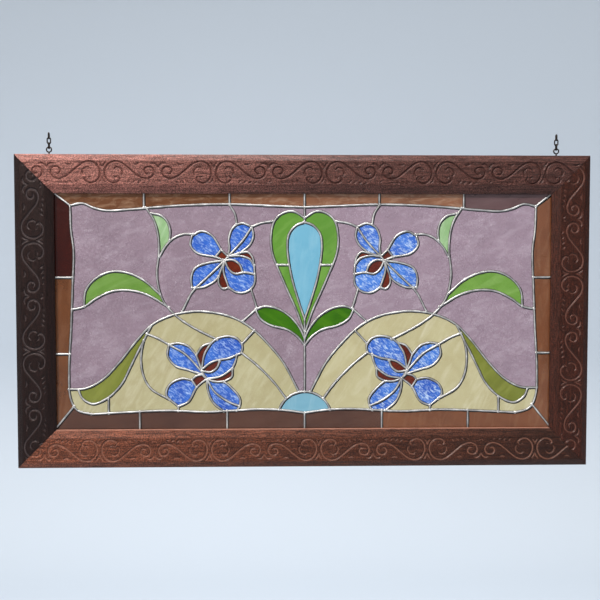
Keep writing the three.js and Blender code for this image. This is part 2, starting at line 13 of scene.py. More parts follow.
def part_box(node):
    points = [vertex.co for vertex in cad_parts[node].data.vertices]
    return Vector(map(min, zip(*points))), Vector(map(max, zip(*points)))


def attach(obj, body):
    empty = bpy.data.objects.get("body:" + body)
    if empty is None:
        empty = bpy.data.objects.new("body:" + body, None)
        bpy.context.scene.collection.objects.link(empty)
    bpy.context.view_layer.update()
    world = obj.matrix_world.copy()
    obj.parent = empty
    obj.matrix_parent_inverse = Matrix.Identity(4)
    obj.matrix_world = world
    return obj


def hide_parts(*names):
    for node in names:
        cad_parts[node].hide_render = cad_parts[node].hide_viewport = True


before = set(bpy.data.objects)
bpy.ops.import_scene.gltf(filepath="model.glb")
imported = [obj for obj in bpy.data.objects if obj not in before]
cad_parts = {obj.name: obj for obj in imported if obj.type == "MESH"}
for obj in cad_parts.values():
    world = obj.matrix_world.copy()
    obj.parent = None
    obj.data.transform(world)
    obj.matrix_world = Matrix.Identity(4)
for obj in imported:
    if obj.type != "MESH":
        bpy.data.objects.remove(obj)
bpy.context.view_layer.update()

# Places, from the frame
RAIL_LOW, RAIL_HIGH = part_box("rail_top")
LEADING_LOW, LEADING_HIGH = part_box("leading")
DROP_LOW, DROP_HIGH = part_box("drop")
FRONT, BACK = RAIL_LOW.y, RAIL_HIGH.y
TOP, BOTTOM = RAIL_HIGH.z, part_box("rail_bottom")[0].z
MIDDLE_Z = (TOP + BOTTOM) / 2
FRAME_WIDTH, FRAME_HEIGHT = 2 * RAIL_HIGH.x, TOP - BOTTOM
RAIL_WIDTH = TOP - RAIL_LOW.z
GLASS_FRONT, GLASS_BACK = DROP_LOW.y, DROP_HIGH.y
SEAM_FRONT, SEAM_BACK = LEADING_LOW.y, LEADING_HIGH.y
PANEL_X, PANEL_Z = LEADING_HIGH.x, (LEADING_HIGH.z - LEADING_LOW.z) / 2
SIGHT_X, SIGHT_Z = FRAME_WIDTH / 2 - RAIL_WIDTH, FRAME_HEIGHT / 2 - RAIL_WIDTH

# Sizes of the moulding and its carving
BEVEL_WIDTH, BEVEL_DROP = 0.010, 0.005
INNER_SLOPE_WIDTH, INNER_SLOPE_DROP = 0.013, 0.006
EDGE_ROUND = 0.0012
EDGE_SETBACK = 0.0004           # how far the outer and inner edges lie behind the eased section
BEVEL_STEPS, BAND_STEPS, SLOPE_STEPS = 5, 62, 6
BAND_MARGIN = 0.001             # how far the fine steps run past the flat band
MITRE_GAP = 0.00021
CARVING_DEPTH = 0.0020
STROKE_SPREAD = 1.8             # how much wider than its line a groove is
STROKE_TAPER = 0.004            # length over which a stroke thins out to its end
PAINTED_EDGE_HIGHLIGHT = 1.2                    # hollow value of the painted highlight on the bottom rail's edge along the glass
MOTIF_LENGTH = 0.1745
TOP_MOTIF_SHIFT, FOOT_MOTIF_SHIFT, SIDE_MOTIF_SHIFT = 0.031, -0.022, 0.061
CARVING_STEP = 0.0008           # between the carving's grid lines along a rail
STROKE_STEP = 0.0004            # between the sample points of a stroke

# Sizes of the panel
SEAM_WIDTH = 0.0028             # of the bright bead, without its dark foot
SEAM_STEP = 0.0028
BEAD_ROUND = 0.50
BEAD_ACROSS = [-1.3, -1, -0.88, -0.6, -0.2, 0.2, 0.6, 0.88, 1, 1.3]      # shares of half the width
BEAD_RIM = [1, 1, 0.5, 0, 0, 0, 0, 0.5, 1, 1, 1, 1]      # how dark each point of a section is, its foot last
FOOT_REACH, PAINTED_SHADOW_MORE = 1.3, 1.0      # shares of half the width: the dark foot, and the painted shadow that the shaded side adds to it
SHADED_SIDE = (0.6, -0.8)       # direction in the picture in which painted shadow makes the foot widest
SINK = 0.0002                   # how far beads and blobs go into the glass
BLOB_RISE = 0.0002              # how far a blob stands off the seams
BLOB_APART = 0.003              # nearer meeting places share one blob
GLASS_GAP = 0.0004              # between a pane's edge and the middle of a seam
OVERRUN = 4.5                   # millimetres that a line runs on past the one it meets, to part the glass

# Sizes of the screw eyes and links
EYE_WIRE, EYE_RING, EYE_NECK = 0.0022, 0.0078, 0.0025
LINK_WIRE, LINK_LENGTH, LINK_WIDTH, LINK_COUNT, LINK_BITE = 0.002, 0.0095, 0.0053, 3, 0.00015
CLEARANCE = 0.0003
SHANK_SHOWN = 0.004             # of the shank, inside the top rail
NECK_SIDES = 16

# The picture's lines for its right half, in millimetres from its middle, for an opening that reaches DRAWN_X to
# each side and DRAWN_Z up and down
DRAWN_X, DRAWN_Z = 391, 188
FOOT_ARC_RADIUS, FOOT_ARC_CENTRE, FOOT_ARC_END = 42.8, -171.4, -158
EDGE_LINES = [
    [(0, 167), (50, 168.8), (118, 171.4), (200, 169), (278, 162.7), (311, 161.2), (330, 165.3), (348, 172.5),
     (367, 169)],
    [(367, 169), (366, 131), (362.3, 97), (364.3, 45), (367.5, -24), (371.5, -95), (369.5, -138), (359.5, -157),
     (337, -163.8)],
    [(337, -163.8), (295, -161.5), (214, -158.5), (158, -161), (113, -159), (77, -157), (40, -158), (0, -163)],
    [(400, 195), (367, 169)],
    [(400, -195), (364, -150.5)],
]
STEM_LINES = [
    [(249, 166), (237, 147), (230.5, 124), (229, 96), (232.5, 58), (224, 20), (205, -4), (179, -23), (138, -44.5)],
    [(175.5, 123.5), (189.2, 124), (204.6, 118.5), (218, 105.5), (228.5, 88)],
    [(242, -22), (254, -47), (258.5, -75), (254.5, -103), (243, -123), (213.5, -141)],
    [(249, -35), (232, -42), (214, -52.5)],
    [(372, -123.5), (345, -122), (319, -108), (293.5, -81.7), (262, -42), (240, -20), (210, -5.5), (175, 0.8),
     (143, -1.3), (112, -9.5), (84, -26), (56.5, -53), (33.5, -82), (9, -129)],
    [(99, -51), (80, -30)],
    [(99.5, -66), (77, -84.3), (48.6, -113.6), (29.5, -139.5)],
    [(118.7, 171), (109.7, 156), (106.8, 140)],
    [(83.2, 135.7), (69.5, 141.3), (50, 144.5)],
    [(84.8, 36.4), (80.8, 23.6), (75.5, 6)],
    [(200, -152), (200, -159.5)],
]
LEAF_LINES = [
    [(241, 157), (226, 153.5), (215.5, 143.5), (211.3, 129), (212.2, 114)],
    [(347, 8.5), (344, 34.5), (329, 53), (306, 64), (282, 63.2), (254, 51), (227.5, 27.7)],
    [(366, 4), (347, 8.5), (329, 21), (303, 33), (276, 34.5), (247, 27), (214, 7)],
    [(0, 150), (18, 160.3), (33, 158), (47, 146), (53.1, 119), (50.4, 92), (40.5, 66), (26, 32), (12.5, 1.5), (1, -32)],
    [(0, 143.3), (13.5, 138), (24.5, 124.5), (27.3, 104), (21.5, 60), (11.5, 23), (0, -12)],
    [(26, 75), (43.7, 75)],
    [(77.5, 3.5), (65, 8.5), (44, 5.5), (23, -7.5), (8, -26), (0, -43)],
    [(77.5, 3.5), (70, -11), (53.5, -21.7), (27, -29), (10, -41), (0, -54)],
    [(77.5, 3.5), (98, -15)],
    [(254, -46), (263, -63), (276, -89.5), (289, -115), (311, -137.5), (335, -147.3), (351, -138), (357, -124.5)],
    [(310, -138), (310, -162.5)],
]
UPPER_FLOWER = [
    [(177, 121.5), (163.1, 128.6), (146.8, 122.5), (136.5, 108.5), (131.6, 99)],
    [(177, 121.5), (179.9, 107), (169, 94), (140.6, 87.7)],
    [(131.6, 99), (120.5, 88.5)],
    [(140.6, 87.7), (126.1, 82)],
    [(120.5, 88.5), (118.6, 103), (119.4, 117), (112.7, 134.5), (98.6, 141.4), (83.2, 135.7)],
    [(83.2, 135.7), (80.7, 122), (85.8, 107.9), (100.9, 94.5)],
    [(126.1, 82), (153.5, 78), (172.5, 70), (178.8, 55), (177.6, 38.6)],
    [(177.6, 38.6), (161.2, 39.3), (142.7, 48.5), (135.7, 56)],
    [(171.8, 38.5), (178.8, 29.5), (193.5, 0.5)],
    [(135.7, 56), (135.4, 45), (128.9, 36.8), (119.9, 39)],
    [(119.9, 39), (107.3, 31.2), (91.8, 32), (79.7, 44), (79.5, 74)],
    [(100.9, 94.5), (89.3, 95.3), (82, 86.5), (79.5, 74)],
    [(131.6, 99), (140.6, 87.7)],
    [(126.1, 82), (120.5, 88.5)],
    [(83.2, 135.7), (96.7, 115), (120.5, 88.5)],
    [(100.9, 94.5), (120.5, 88.5)],
    [(126.1, 82), (153.8, 55), (171.8, 38.5)],
    [(135.7, 56), (132.8, 64), (126.1, 82)],
    [(126.1, 82), (128.1, 66.4), (119.9, 39)],
    [(79.5, 74), (86.5, 84.3), (102.6, 89.5), (120.5, 88.5)],
    [(126.1, 82), (113.7, 83), (102.8, 76), (97.6, 63)],
    [(126.1, 82), (119.3, 68), (109.7, 60.9), (97.6, 63)],
    [(97.6, 63), (89, 62.3), (79, 60)],
]
LOWER_FLOWER = [
    [(214.5, -52.5), (200, -50), (184, -55), (171.5, -69)],
    [(214.5, -52.5), (216.5, -70), (204, -86.5), (185, -93), (162, -100.5)],
    [(171.5, -69), (161, -54.5), (148, -50)],
    [(148, -50), (138, -42.6), (121, -39.2), (106, -43.5), (98.5, -55), (101, -66), (107.5, -69)],
    [(107.5, -69), (109.5, -79), (114.6, -91)],
    [(114.6, -91), (115.5, -104), (128, -112)],
    [(128, -112), (117, -121), (102.5, -140), (104, -153), (108, -159.2)],
    [(155, -107.5), (152.8, -128), (145, -145.5), (128.5, -160)],
    [(178.6, -109.3), (195, -107), (214, -117), (219, -133), (200, -152)],
    [(200, -152), (184, -144), (171, -121), (155, -107.5)],
    [(178.6, -109.3), (172, -103), (162, -100.5)],
    [(214.5, -52.5), (188.6, -67.9), (163.5, -95)],
    [(171.5, -69), (163.2, -92.8)],
    [(163, -92.5), (158.6, -67.9), (148, -50)],
    [(107.5, -69), (120, -74.3), (146, -80), (163, -92.5)],
    [(163, -92.5), (162, -100.5), (155, -107.5)],
    [(134.5, -79), (139, -89.5), (148.5, -96.5), (162.8, -95)],
    [(163, -92.5), (160, -100), (155, -107.5)],
    [(114.6, -91), (133, -103.6), (155, -107.5)],
    [(128, -112), (142, -112), (155, -107.5)],
    [(155, -107.5), (143, -128), (121, -144.5), (103.5, -152)],
    [(178.6, -109.3), (171, -121)],
]
BORDER_TICKS = [
    [(118, 196), (118, 171)], [(252, 196), (252, 166)], [(400, 55), (364, 55)], [(400, -67), (370, -67)],
    [(123, -196), (123, -159)], [(261, -196), (261, -160)],
]
MIDDLE_LINES = [[(0, 151), (0, 143)], [(0, -12), (0, -129)], [(0, 196), (0, 151)], [(0, -196), (0, -163)]]

# The panes, by slot, then by the CAD node that they replace: a point inside each pane of the right half
PANES = {
    "amber": {
        "border_head": [(60, 181), (185, 182), (300, 178)],
        "border_side": [(384, 110), (384, 0), (386, -110)],
        "border_foot": [(60, -176), (190, -177), (320, -179)],
    },
    "mauve": {
        "field_head": [(290, 120)], "field_side": [(320, -30)], "field_over_flower": [(160, 150)],
        "field_over_heart": [(70, 155)], "field_in_hoop": [(205, 75)], "field_under_flower": [(150, 15)],
        "field_beside_drop": [(65, 50)], "field_under_leaf": [(40, -45)],
    },
    "yellow": {
        "ground_corner": [(340, -155)], "ground_side": [(285, -125)], "ground_in_hoop": [(240, -75)],
        "ground_under_arch": [(200, -30)], "ground_over_petal": [(115, -25)], "ground_arch_band": [(60, -82)],
        "ground_beside_middle": [(70, -130)], "ground_between_petals": [(165, -145)],
    },
    "green": {"crescent_leaf": [(306, 50)], "heart_side": [(40, 120), (24, 52)]},
    "pale_green": {"pale_leaf": [(224, 130)]},
    "dark_green": {"dark_leaf": [(55, -5)]},
    "olive": {"olive_leaf": [(310, -120)]},
    "blue": {
        "flower_upper": [(160, 110), (112, 120), (92, 115), (165, 62), (150, 55), (100, 45), (95, 74)],
        "flower_lower": [(188, -58), (197, -78), (122, -56), (120, -84), (113, -136), (140, -145), (197, -130)],
    },
    "brown": {
        "flower_upper": [(129.5, 90), (131, 52), (109, 70), (90, 90)],
        "flower_lower": [(162, -66), (148, -90), (125, -104), (169, -109)],
    },
}
MIDDLE_PANES = {
    "light_blue": {"drop": (0, 100), "foot_half_circle": (0, -145)},
}
WHOLE_WIDTH_NODES = {"border_head", "border_foot", "field_over_heart"}     # one CAD node for both halves
SLOT_OF = {"brown": "amber"}                           # finishes that share a slot of the record
OTHER_SHEETS = {                                       # panes cut from other sheets than the rest of their finish
    "maroon": ["amber_border_side_left_1"],
    "maroon_light": ["amber_border_foot_left_1", "amber_border_foot_left_2", "amber_border_foot_left_3",
                     "amber_border_foot_right_1"],
    "plum": ["amber_border_head_right_3"],
    "amber_pale": ["amber_border_head_left_1", "amber_border_head_right_1", "amber_border_head_right_2"],
    "amber_head": ["amber_border_head_left_2", "amber_border_head_left_3"],
    "amber_right": ["amber_border_side_right_1", "amber_border_side_right_2", "amber_border_side_right_3",
                    "amber_border_foot_right_2", "amber_border_foot_right_3"],
    "leaf_green": ["green_crescent_leaf_right"],
    # The left crescent takes a darker copy of leaf green: painted shade
    "leaf_green_shaded": ["green_crescent_leaf_left"],
    "grey_blue": ["light_blue_foot_half_circle"],
}
SHEET_OF = {pane: sheet for sheet, panes in OTHER_SHEETS.items() for pane in panes}
# The left half's panes take darker copies of their sheets: painted shade
SHADED_LEFT_SHEETS = {"mauve": "mauve_left_shaded", "yellow": "yellow_left_shaded", "blue": "blue_left_shaded"}

# The carving of one half motif: strokes as (width, depth share, points), in millimetres along and across
# the band from the motif's middle
STROKES = [
    (2.2, 1.0, [(25, -6), (27.5, -10.5), (22, -15.5), (13, -15.5), (5.5, -8.5), (3.8, 1.5), (9, 12.5), (19, 17.3),
                (29, 15.5), (39, 8.5), (49, 0), (58, -6.5), (69, -9.5), (78, -6), (81, 1.5), (77.5, 7.8),
                (70.5, 8.8), (65.5, 4.2), (68, -1.6), (73.5, -1.2)]),
    (2.0, 0.9, [(17.5, 4.5), (22, 8.2), (28.5, 6.3), (31.5, -0.5), (29, -5)]),
    (1.8, 0.8, [(17, -5.5), (20.5, -7.5), (23.5, -6)]),
    (2.2, 0.9, [(39.5, -16), (43.5, -11.5)]),
    (2.2, 0.9, [(47, -16.5), (51.5, -12.5)]),
    (2.2, 0.9, [(55, -17), (59.5, -14)]),
    (2.0, 0.8, [(63.5, -16.8), (68.5, -15)]),
    (2.2, 0.9, [(48, 13.5), (53, 12.5), (57, 14)]),
    (2.2, 0.9, [(75, 13.2), (80, 14.5), (84.5, 12), (87.2, 6.5)]),
    (2.0, 0.8, [(83, -12), (85.5, -14.5), (87.2, -15)]),
    (2.2, 0.9, [(0, 6), (2, 12), (6, 17)]),
    (2.0, 0.8, [(0, -6), (1.5, -11.5), (5, -16)]),
]


# Helpers: lines, meshes and placing
def smooth_line(points, per=10):
    """A centripetal Catmull-Rom curve: between two points, the cubic whose end slopes weigh the neighbouring
    chords by the square root of their lengths."""
    p = np.array(points, float)
    if len(p) == 2:
        return p
    ext = np.vstack([2 * p[0] - p[1], p, 2 * p[-1] - p[-2]])
    out = []
    for i in range(1, len(ext) - 2):
        p0, p1, p2, p3 = ext[i - 1:i + 3]
        d0, d1, d2 = (((b - a) ** 2).sum() ** 0.25 for a, b in ((p0, p1), (p1, p2), (p2, p3)))
        t1 = ((p1 - p0) / d0 - (p2 - p0) / (d0 + d1) + (p2 - p1) / d1) * d1
        t2 = ((p2 - p1) / d1 - (p3 - p1) / (d1 + d2) + (p3 - p2) / d2) * d1
        t = np.linspace(0, 1, per, endpoint=False)[:, None]
        out.append(p1 + t1 * t + (3 * (p2 - p1) - 2 * t1 - t2) * t ** 2 + (2 * (p1 - p2) + t1 + t2) * t ** 3)
    out.append(p[-1:])
    return np.vstack(out)


def even_steps(line, step):
    """The same line at equal steps of arc length, both ends kept."""
    run = np.concatenate([[0], np.cumsum(np.linalg.norm(np.diff(line, axis=0), axis=1))])
    count = max(int(round(run[-1] / step)), 2)
    at = np.linspace(0, run[-1], count + 1)
    return np.stack([np.interp(at, run, line[:, 0]), np.interp(at, run, line[:, 1])], 1)


def longer(line, by):
    """The line with both ends run straight on."""
    first = line[0] - line[1]
    last = line[-1] - line[-2]
    return np.vstack([line[0] + first / np.linalg.norm(first) * by, line,
                      line[-1] + last / np.linalg.norm(last) * by])


def placed(line, side=1):
    """A drawn line in the real opening, in metres from the frame's middle."""
    return np.asarray(line, float) * (side * SIGHT_X / DRAWN_X, SIGHT_Z / DRAWN_Z)


def foot_arc():
    """The arc of the half circle at the foot, from its right end to its left end."""
    reach = math.asin((FOOT_ARC_END - FOOT_ARC_CENTRE) / FOOT_ARC_RADIUS)
    angle = np.linspace(reach, math.pi - reach, 40)
    return np.stack([FOOT_ARC_RADIUS * np.cos(angle), FOOT_ARC_CENTRE + FOOT_ARC_RADIUS * np.sin(angle)], 1)


def seam_lines(overrun=0.0):
    """Every seam of the whole picture as an even line in metres, each end run on by overrun millimetres."""
    lines = []
    for group in (EDGE_LINES, STEM_LINES, LEAF_LINES, UPPER_FLOWER, LOWER_FLOWER, BORDER_TICKS):
        for points in group:
            line = smooth_line(points)
            lines += [placed(line, 1), placed(line, -1)]
    lines += [placed(points) for points in MIDDLE_LINES] + [placed(foot_arc())]
    lines = [even_steps(line, SEAM_STEP) for line in lines]
    return [longer(line, overrun / 1000) for line in lines] if overrun else lines


def new_piece(name, places, faces, material, slot, nodes=(), smooth=True):
    """A visible piece in place of the named CAD nodes, hung on the root when it has a slot; without a slot it belongs
    to the stage.
    """
    mesh = bpy.data.meshes.new(name)
    mesh.from_pydata(np.asarray(places, float).tolist(), [], faces)
    mesh.polygons.foreach_set("use_smooth", np.full(len(mesh.polygons), smooth))
    mesh.materials.append(material)
    mesh.update()
    piece = bpy.data.objects.new(name, mesh)
    bpy.context.scene.collection.objects.link(piece)
    if slot:
        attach(piece, "root")
    if nodes:
        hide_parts(*nodes)
    return piece


def store(piece, name, values):
    """Keeps one value for each point of the mesh, for its material to read."""
    kept = piece.data.attributes.new(name, "FLOAT", "POINT")
    kept.data.foreach_set("value", values.astype(np.float32).ravel())


def round_steps(count):
    """Angles all the way round, in count equal steps."""
    return np.linspace(0, 2 * math.pi, count, endpoint=False)


def grid_faces(rows, columns, closed_rows=False, closed_columns=False, start=0):
    """Quads of a grid of points counted row by row."""
    r = np.arange(rows if closed_rows else rows - 1)[:, None]
    c = np.arange(columns if closed_columns else columns - 1)[None, :]
    r2, c2 = (r + 1) % rows, (c + 1) % columns
    quads = np.stack([r * columns + c, r * columns + c2, r2 * columns + c2, r2 * columns + c], -1)
    return (quads.reshape(-1, 4) + start).tolist()


# Nodes of materials
def add(tree, kind, **values):
    node = tree.nodes.new(kind)
    for key, value in values.items():
        if key in node.inputs:
            node.inputs[key].default_value = value
        else:
            setattr(node, key, value)
    return node


def wire(tree, start, end):
    tree.links.new(start, end)


def ramp(tree, factor, *stops):
    """A colour ramp; each stop is (place, colour), where one number stands for a grey."""
    node = tree.nodes.new("ShaderNodeValToRGB")
    wire(tree, factor, node.inputs["Fac"])
    points = node.color_ramp.elements
    while len(points) < len(stops):
        points.new(0.5)
    for point, (place, colour) in zip(points, stops):
        point.position = place
        point.color = (*colour, 1) if isinstance(colour, tuple) else (colour, colour, colour, 1)
    return node.outputs["Color"]


def mix(tree, factor, first, second, blend="MIX"):
    node = add(tree, "ShaderNodeMix", data_type="RGBA", blend_type=blend)
    for value, socket in ((factor, node.inputs[0]), (first, node.inputs[6]), (second, node.inputs[7])):
        if isinstance(value, bpy.types.NodeSocket):
            wire(tree, value, socket)
        else:
            socket.default_value = value if isinstance(value, float) else (*value, 1)
    return node.outputs[2]


def maths(tree, operation, first, second=None, clamp=False):
    node = add(tree, "ShaderNodeMath", operation=operation, use_clamp=clamp)
    for value, socket in ((first, node.inputs[0]), (second, node.inputs[1])):
        if isinstance(value, bpy.types.NodeSocket):
            wire(tree, value, socket)
        elif value is not None:
            socket.default_value = value
    return node.outputs[0]


def times(tree, first, second, clamp=False):
    return maths(tree, "MULTIPLY", first, second, clamp)


def plus(tree, first, second, clamp=False):
    return maths(tree, "ADD", first, second, clamp)


def noise(tree, vector, scale, detail=3.0, roughness=0.55, distortion=0.0):
    node = add(tree, "ShaderNodeTexNoise", Scale=scale, Detail=detail, Roughness=roughness, Distortion=distortion)
    wire(tree, vector, node.inputs["Vector"])
    return node.outputs["Fac"]


def scaled(tree, vector, scale, turn=(0, 0, 0)):
    node = add(tree, "ShaderNodeMapping", Scale=scale, Rotation=turn)
    wire(tree, vector, node.inputs["Vector"])
    return node.outputs["Vector"]


def attribute(tree, name):
    return add(tree, "ShaderNodeAttribute", attribute_name=name).outputs["Fac"]


def material(name):
    made = bpy.data.materials.new(name)
    made.use_nodes = True
    tree = made.node_tree
    shader = tree.nodes["Principled BSDF"]
    here = tree.nodes.new("ShaderNodeTexCoord").outputs["Object"]
    return made, tree, shader, here


def bump(tree, shader, height, strength, distance):
    node = add(tree, "ShaderNodeBump", Strength=strength, Distance=distance)
    wire(tree, height, node.inputs["Height"])
    wire(tree, node.outputs["Normal"], shader.inputs["Normal"])


def group(name, inputs, outputs):
    """An empty shader node group, with its input and output nodes."""
    tree = bpy.data.node_groups.new(name, "ShaderNodeTree")
    for title, kind, value in inputs:
        socket = tree.interface.new_socket(title, in_out="INPUT", socket_type=kind)
        if value is not None:
            socket.default_value = value
    for title, kind in outputs:
        tree.interface.new_socket(title, in_out="OUTPUT", socket_type=kind)
    return tree, tree.nodes.new("NodeGroupInput").outputs, tree.nodes.new("NodeGroupOutput").inputs


def use(tree, which, links=(), **values):
    node = add(tree, "ShaderNodeGroup", node_tree=which)
    for key, value in values.items():
        node.inputs[key].default_value = value
    for key, socket in links:
        wire(tree, socket, node.inputs[key])
    return node.outputs


# Shared effects
def wood_grain_group():
    """Grain that runs along the vector's X: long fibres, open pores, slow bands and stain clouds."""
    tree, given, out = group(
        "wood_grain",
        [("Vector", "NodeSocketVector", None)],
        [("Fibre", "NodeSocketFloat"), ("Pores", "NodeSocketFloat"), ("Bands", "NodeSocketFloat"),
         ("Clouds", "NodeSocketFloat")])
    at = given["Vector"]
    fibre = noise(tree, scaled(tree, at, (22, 420, 420)), 1.0, 5.0, 0.65, 0.3)
    pores = noise(tree, scaled(tree, at, (75, 1500, 1500)), 1.0, 2.0, 0.5)
    dark_pores = times(tree, maths(tree, "SUBTRACT", pores, 0.56, True), 5.0, True)
    bands = noise(tree, scaled(tree, at, (2.2, 70, 70)), 1.0, 2.0, 0.5, 1.2)
    clouds = noise(tree, at, 9.0, 3.0, 0.6)
    for title, socket in (("Fibre", fibre), ("Pores", dark_pores), ("Bands", bands), ("Clouds", clouds)):
        wire(tree, socket, out[title])
    return tree


def streaks_group():
    """Streaks and clouds of art glass along the vector's X, and the slow ripple of its surface."""
    tree, given, out = group(
        "glass_streaks",
        [("Vector", "NodeSocketVector", None), ("Stretch", "NodeSocketFloat", 6.0),
         ("Fineness", "NodeSocketFloat", 60.0)],
        [("Streaks", "NodeSocketFloat"), ("Clouds", "NodeSocketFloat"), ("Ripple", "NodeSocketFloat")])
    shrink = add(tree, "ShaderNodeCombineXYZ", Y=1.0, Z=1.0)
    wire(tree, maths(tree, "DIVIDE", 1.0, given["Stretch"]), shrink.inputs["X"])
    product = add(tree, "ShaderNodeVectorMath", operation="MULTIPLY")
    wire(tree, given["Vector"], product.inputs[0])
    wire(tree, shrink.outputs[0], product.inputs[1])
    streaks = add(tree, "ShaderNodeTexNoise", Detail=4.0, Roughness=0.6, Distortion=0.9)
    wire(tree, product.outputs[0], streaks.inputs["Vector"])
    wire(tree, given["Fineness"], streaks.inputs["Scale"])
    clouds = noise(tree, given["Vector"], 22.0, 3.0, 0.55, 0.5)
    ripple = noise(tree, given["Vector"], 120.0, 2.0, 0.5, 0.4)
    wire(tree, streaks.outputs["Fac"], out["Streaks"])
    wire(tree, clouds, out["Clouds"])
    wire(tree, ripple, out["Ripple"])
    return tree


WOOD_GRAIN = wood_grain_group()
STREAKS = streaks_group()


# Materials
LEVEL, UPRIGHT = (0, 0, 0), (0, math.radians(90), 0)      # turns of the grain
PAINTED_LIGHT_PLACES = (0.08, 0.5, 0.92)      # shares of the frame's width at which a wood's three gains of painted light are given


def wood_material(name, along, dark, light, hollow, rough, painted_light_gain):
    """Stained wood, its grain turned from X by along, with a tone in the carving's hollows that is painted light and
    shade.
    The three gains are painted light: they lighten or darken it at the frame's left end, middle and right end."""
    made, tree, shader, here = material(name)
    grain = use(tree, WOOD_GRAIN, [("Vector", scaled(tree, here, (1, 1, 1), along))])
    tone = ramp(tree, grain["Fibre"], (0.36, dark), (0.50, tuple((a + b) / 2 for a, b in zip(dark, light))),
                (0.64, light))
    tone = mix(tree, times(tree, grain["Bands"], 0.55), tone, dark)
    tone = mix(tree, times(tree, grain["Pores"], 0.8), tone, tuple(c * 0.22 for c in dark))
    tone = mix(tree, times(tree, grain["Clouds"], 0.35), tone, tuple(c * 0.55 for c in light))
    specks = ramp(tree, noise(tree, here, 620.0, 2.0, 0.65), (0.40, 0.32), (0.62, 1.85))
    tone = mix(tree, 1.0, tone, specks, "MULTIPLY")
    # Painted light: the tone is multiplied by the gains across the frame's width, a painted sheen at the left end of
    # the top and bottom rails and painted shade at their right end
    apart = add(tree, "ShaderNodeSeparateXYZ")
    wire(tree, here, apart.inputs[0])
    share = plus(tree, times(tree, apart.outputs["X"], 1 / FRAME_WIDTH), 0.5, True)
    painted_light_fade = ramp(tree, share, *zip(PAINTED_LIGHT_PLACES, painted_light_gain))
    tone = mix(tree, 1.0, tone, painted_light_fade, "MULTIPLY")
    # The hollows take the hollow tone: a painted highlight where it is lighter than the wood, stain and painted shade
    # where it is darker
    painted_carving_shading = times(tree, maths(tree, "POWER", attribute(tree, "hollow"), 2.0), 0.85)
    tone = mix(tree, painted_carving_shading, tone, hollow)
    wire(tree, tone, shader.inputs["Base Color"])
    gloss = plus(tree, times(tree, grain["Fibre"], 0.25), rough - 0.12)
    wire(tree, gloss, shader.inputs["Roughness"])
    shader.inputs["Coat Weight"].default_value = 0.10
    shader.inputs["Coat Roughness"].default_value = 0.25
    shader.inputs["Specular IOR Level"].default_value = 0.28
    shader.inputs["Specular Tint"].default_value = (1, 0.74, 0.68, 1)
    shader.inputs["Coat Tint"].default_value = (1, 0.85, 0.80, 1)
    height = maths(tree, "SUBTRACT", times(tree, grain["Fibre"], 0.6), grain["Pores"])
    height = plus(tree, height, times(tree, noise(tree, here, 900.0, 2.0, 0.6), 0.8))
    bump(tree, shader, height, 0.8, 0.0009)
    return made


def glass_material(name, tones, streaks, face):
    """Art glass: streaks of pale and deep colour over base, a rippled face, and where it is granular a fine grit that
    bumps the face and scatters pale specks, which are painted glints.
    """
    base, pale, deep = tones
    amount, turn, stretch, fineness = streaks
    rough, relief, clear, grit_and_painted_glints = face
    made, tree, shader, here = material(name)
    turned = scaled(tree, here, (1, 1, 1), (0, math.radians(turn), 0))
    flow = use(tree, STREAKS, [("Vector", turned)], Stretch=float(stretch), Fineness=float(fineness))
    tone = mix(tree, ramp(tree, flow["Clouds"], (0.35, 0), (0.75, 1)), base, deep)
    tone = mix(tree, times(tree, ramp(tree, flow["Streaks"], (0.48, 0), (0.72, 1)),
                           amount), tone, pale)
    height = flow["Ripple"]
    if grit_and_painted_glints:
        grains = noise(tree, here, 520.0, 2.0, 0.6)
        clusters = noise(tree, here, 16.0, 3.0, 0.6, 0.8)
        clusters = ramp(tree, clusters, (0.40, 0.25), (0.66, 1))
        # The pale specks in clusters are painted glints; the grains also bump the face
        specks = ramp(tree, grains, (0.52, 0), (0.64, 1))
        tone = mix(tree, times(tree, times(tree, specks, clusters), grit_and_painted_glints), tone, pale)
        height = plus(tree, height, times(tree, grains, 0.5))
    wire(tree, tone, shader.inputs["Base Color"])
    gloss = plus(tree, times(tree, flow["Ripple"], 0.12), rough)
    wire(tree, gloss, shader.inputs["Roughness"])
    shader.inputs["Transmission Weight"].default_value = clear
    shader.inputs["IOR"].default_value = 1.5
    bump(tree, shader, height, relief, 0.0006)
    return made


def seam_material():
    """Soldered metal: silver grey, greyer in slow patches, with small pits and a hammered face."""
    made, tree, shader, here = material("seam_metal")
    patches = noise(tree, here, 55.0, 4.0, 0.6)
    spots = noise(tree, here, 420.0, 3.0, 0.6)
    tone = ramp(tree, patches, (0.30, (0.30, 0.29, 0.28)), (0.50, (0.52, 0.505, 0.49)), (0.70, (0.86, 0.84, 0.80)))
    tone = mix(tree, times(tree, ramp(tree, spots, (0.52, 0), (0.68, 1)), 0.35),
               tone, (0.20, 0.19, 0.18))
    # The rim's dark foot: putty and patina, widened towards the lower right by painted shadow
    tone = mix(tree, times(tree, attribute(tree, "rim"), 0.96), tone, (0.018, 0.017, 0.016))
    wire(tree, tone, shader.inputs["Base Color"])
    shader.inputs["Metallic"].default_value = 0.7
    wire(tree, plus(tree, times(tree, patches, 0.3), 0.22), shader.inputs["Roughness"])
    bump(tree, shader, plus(tree, spots, patches), 0.35, 0.0004)
    return made


def dark_metal_material():
    """Bronze black metal, brown where it is rubbed."""
    made, tree, shader, here = material("dark_metal")
    patches = noise(tree, here, 260.0, 4.0, 0.6)
    wire(tree, ramp(tree, patches, (0.35, (0.012, 0.010, 0.009)), (0.62, (0.045, 0.033, 0.026)),
                    (0.78, (0.16, 0.10, 0.06))), shader.inputs["Base Color"])
    shader.inputs["Metallic"].default_value = 0.85
    wire(tree, plus(tree, times(tree, patches, 0.35), 0.22), shader.inputs["Roughness"])
    bump(tree, shader, patches, 0.3, 0.0003)
    return made
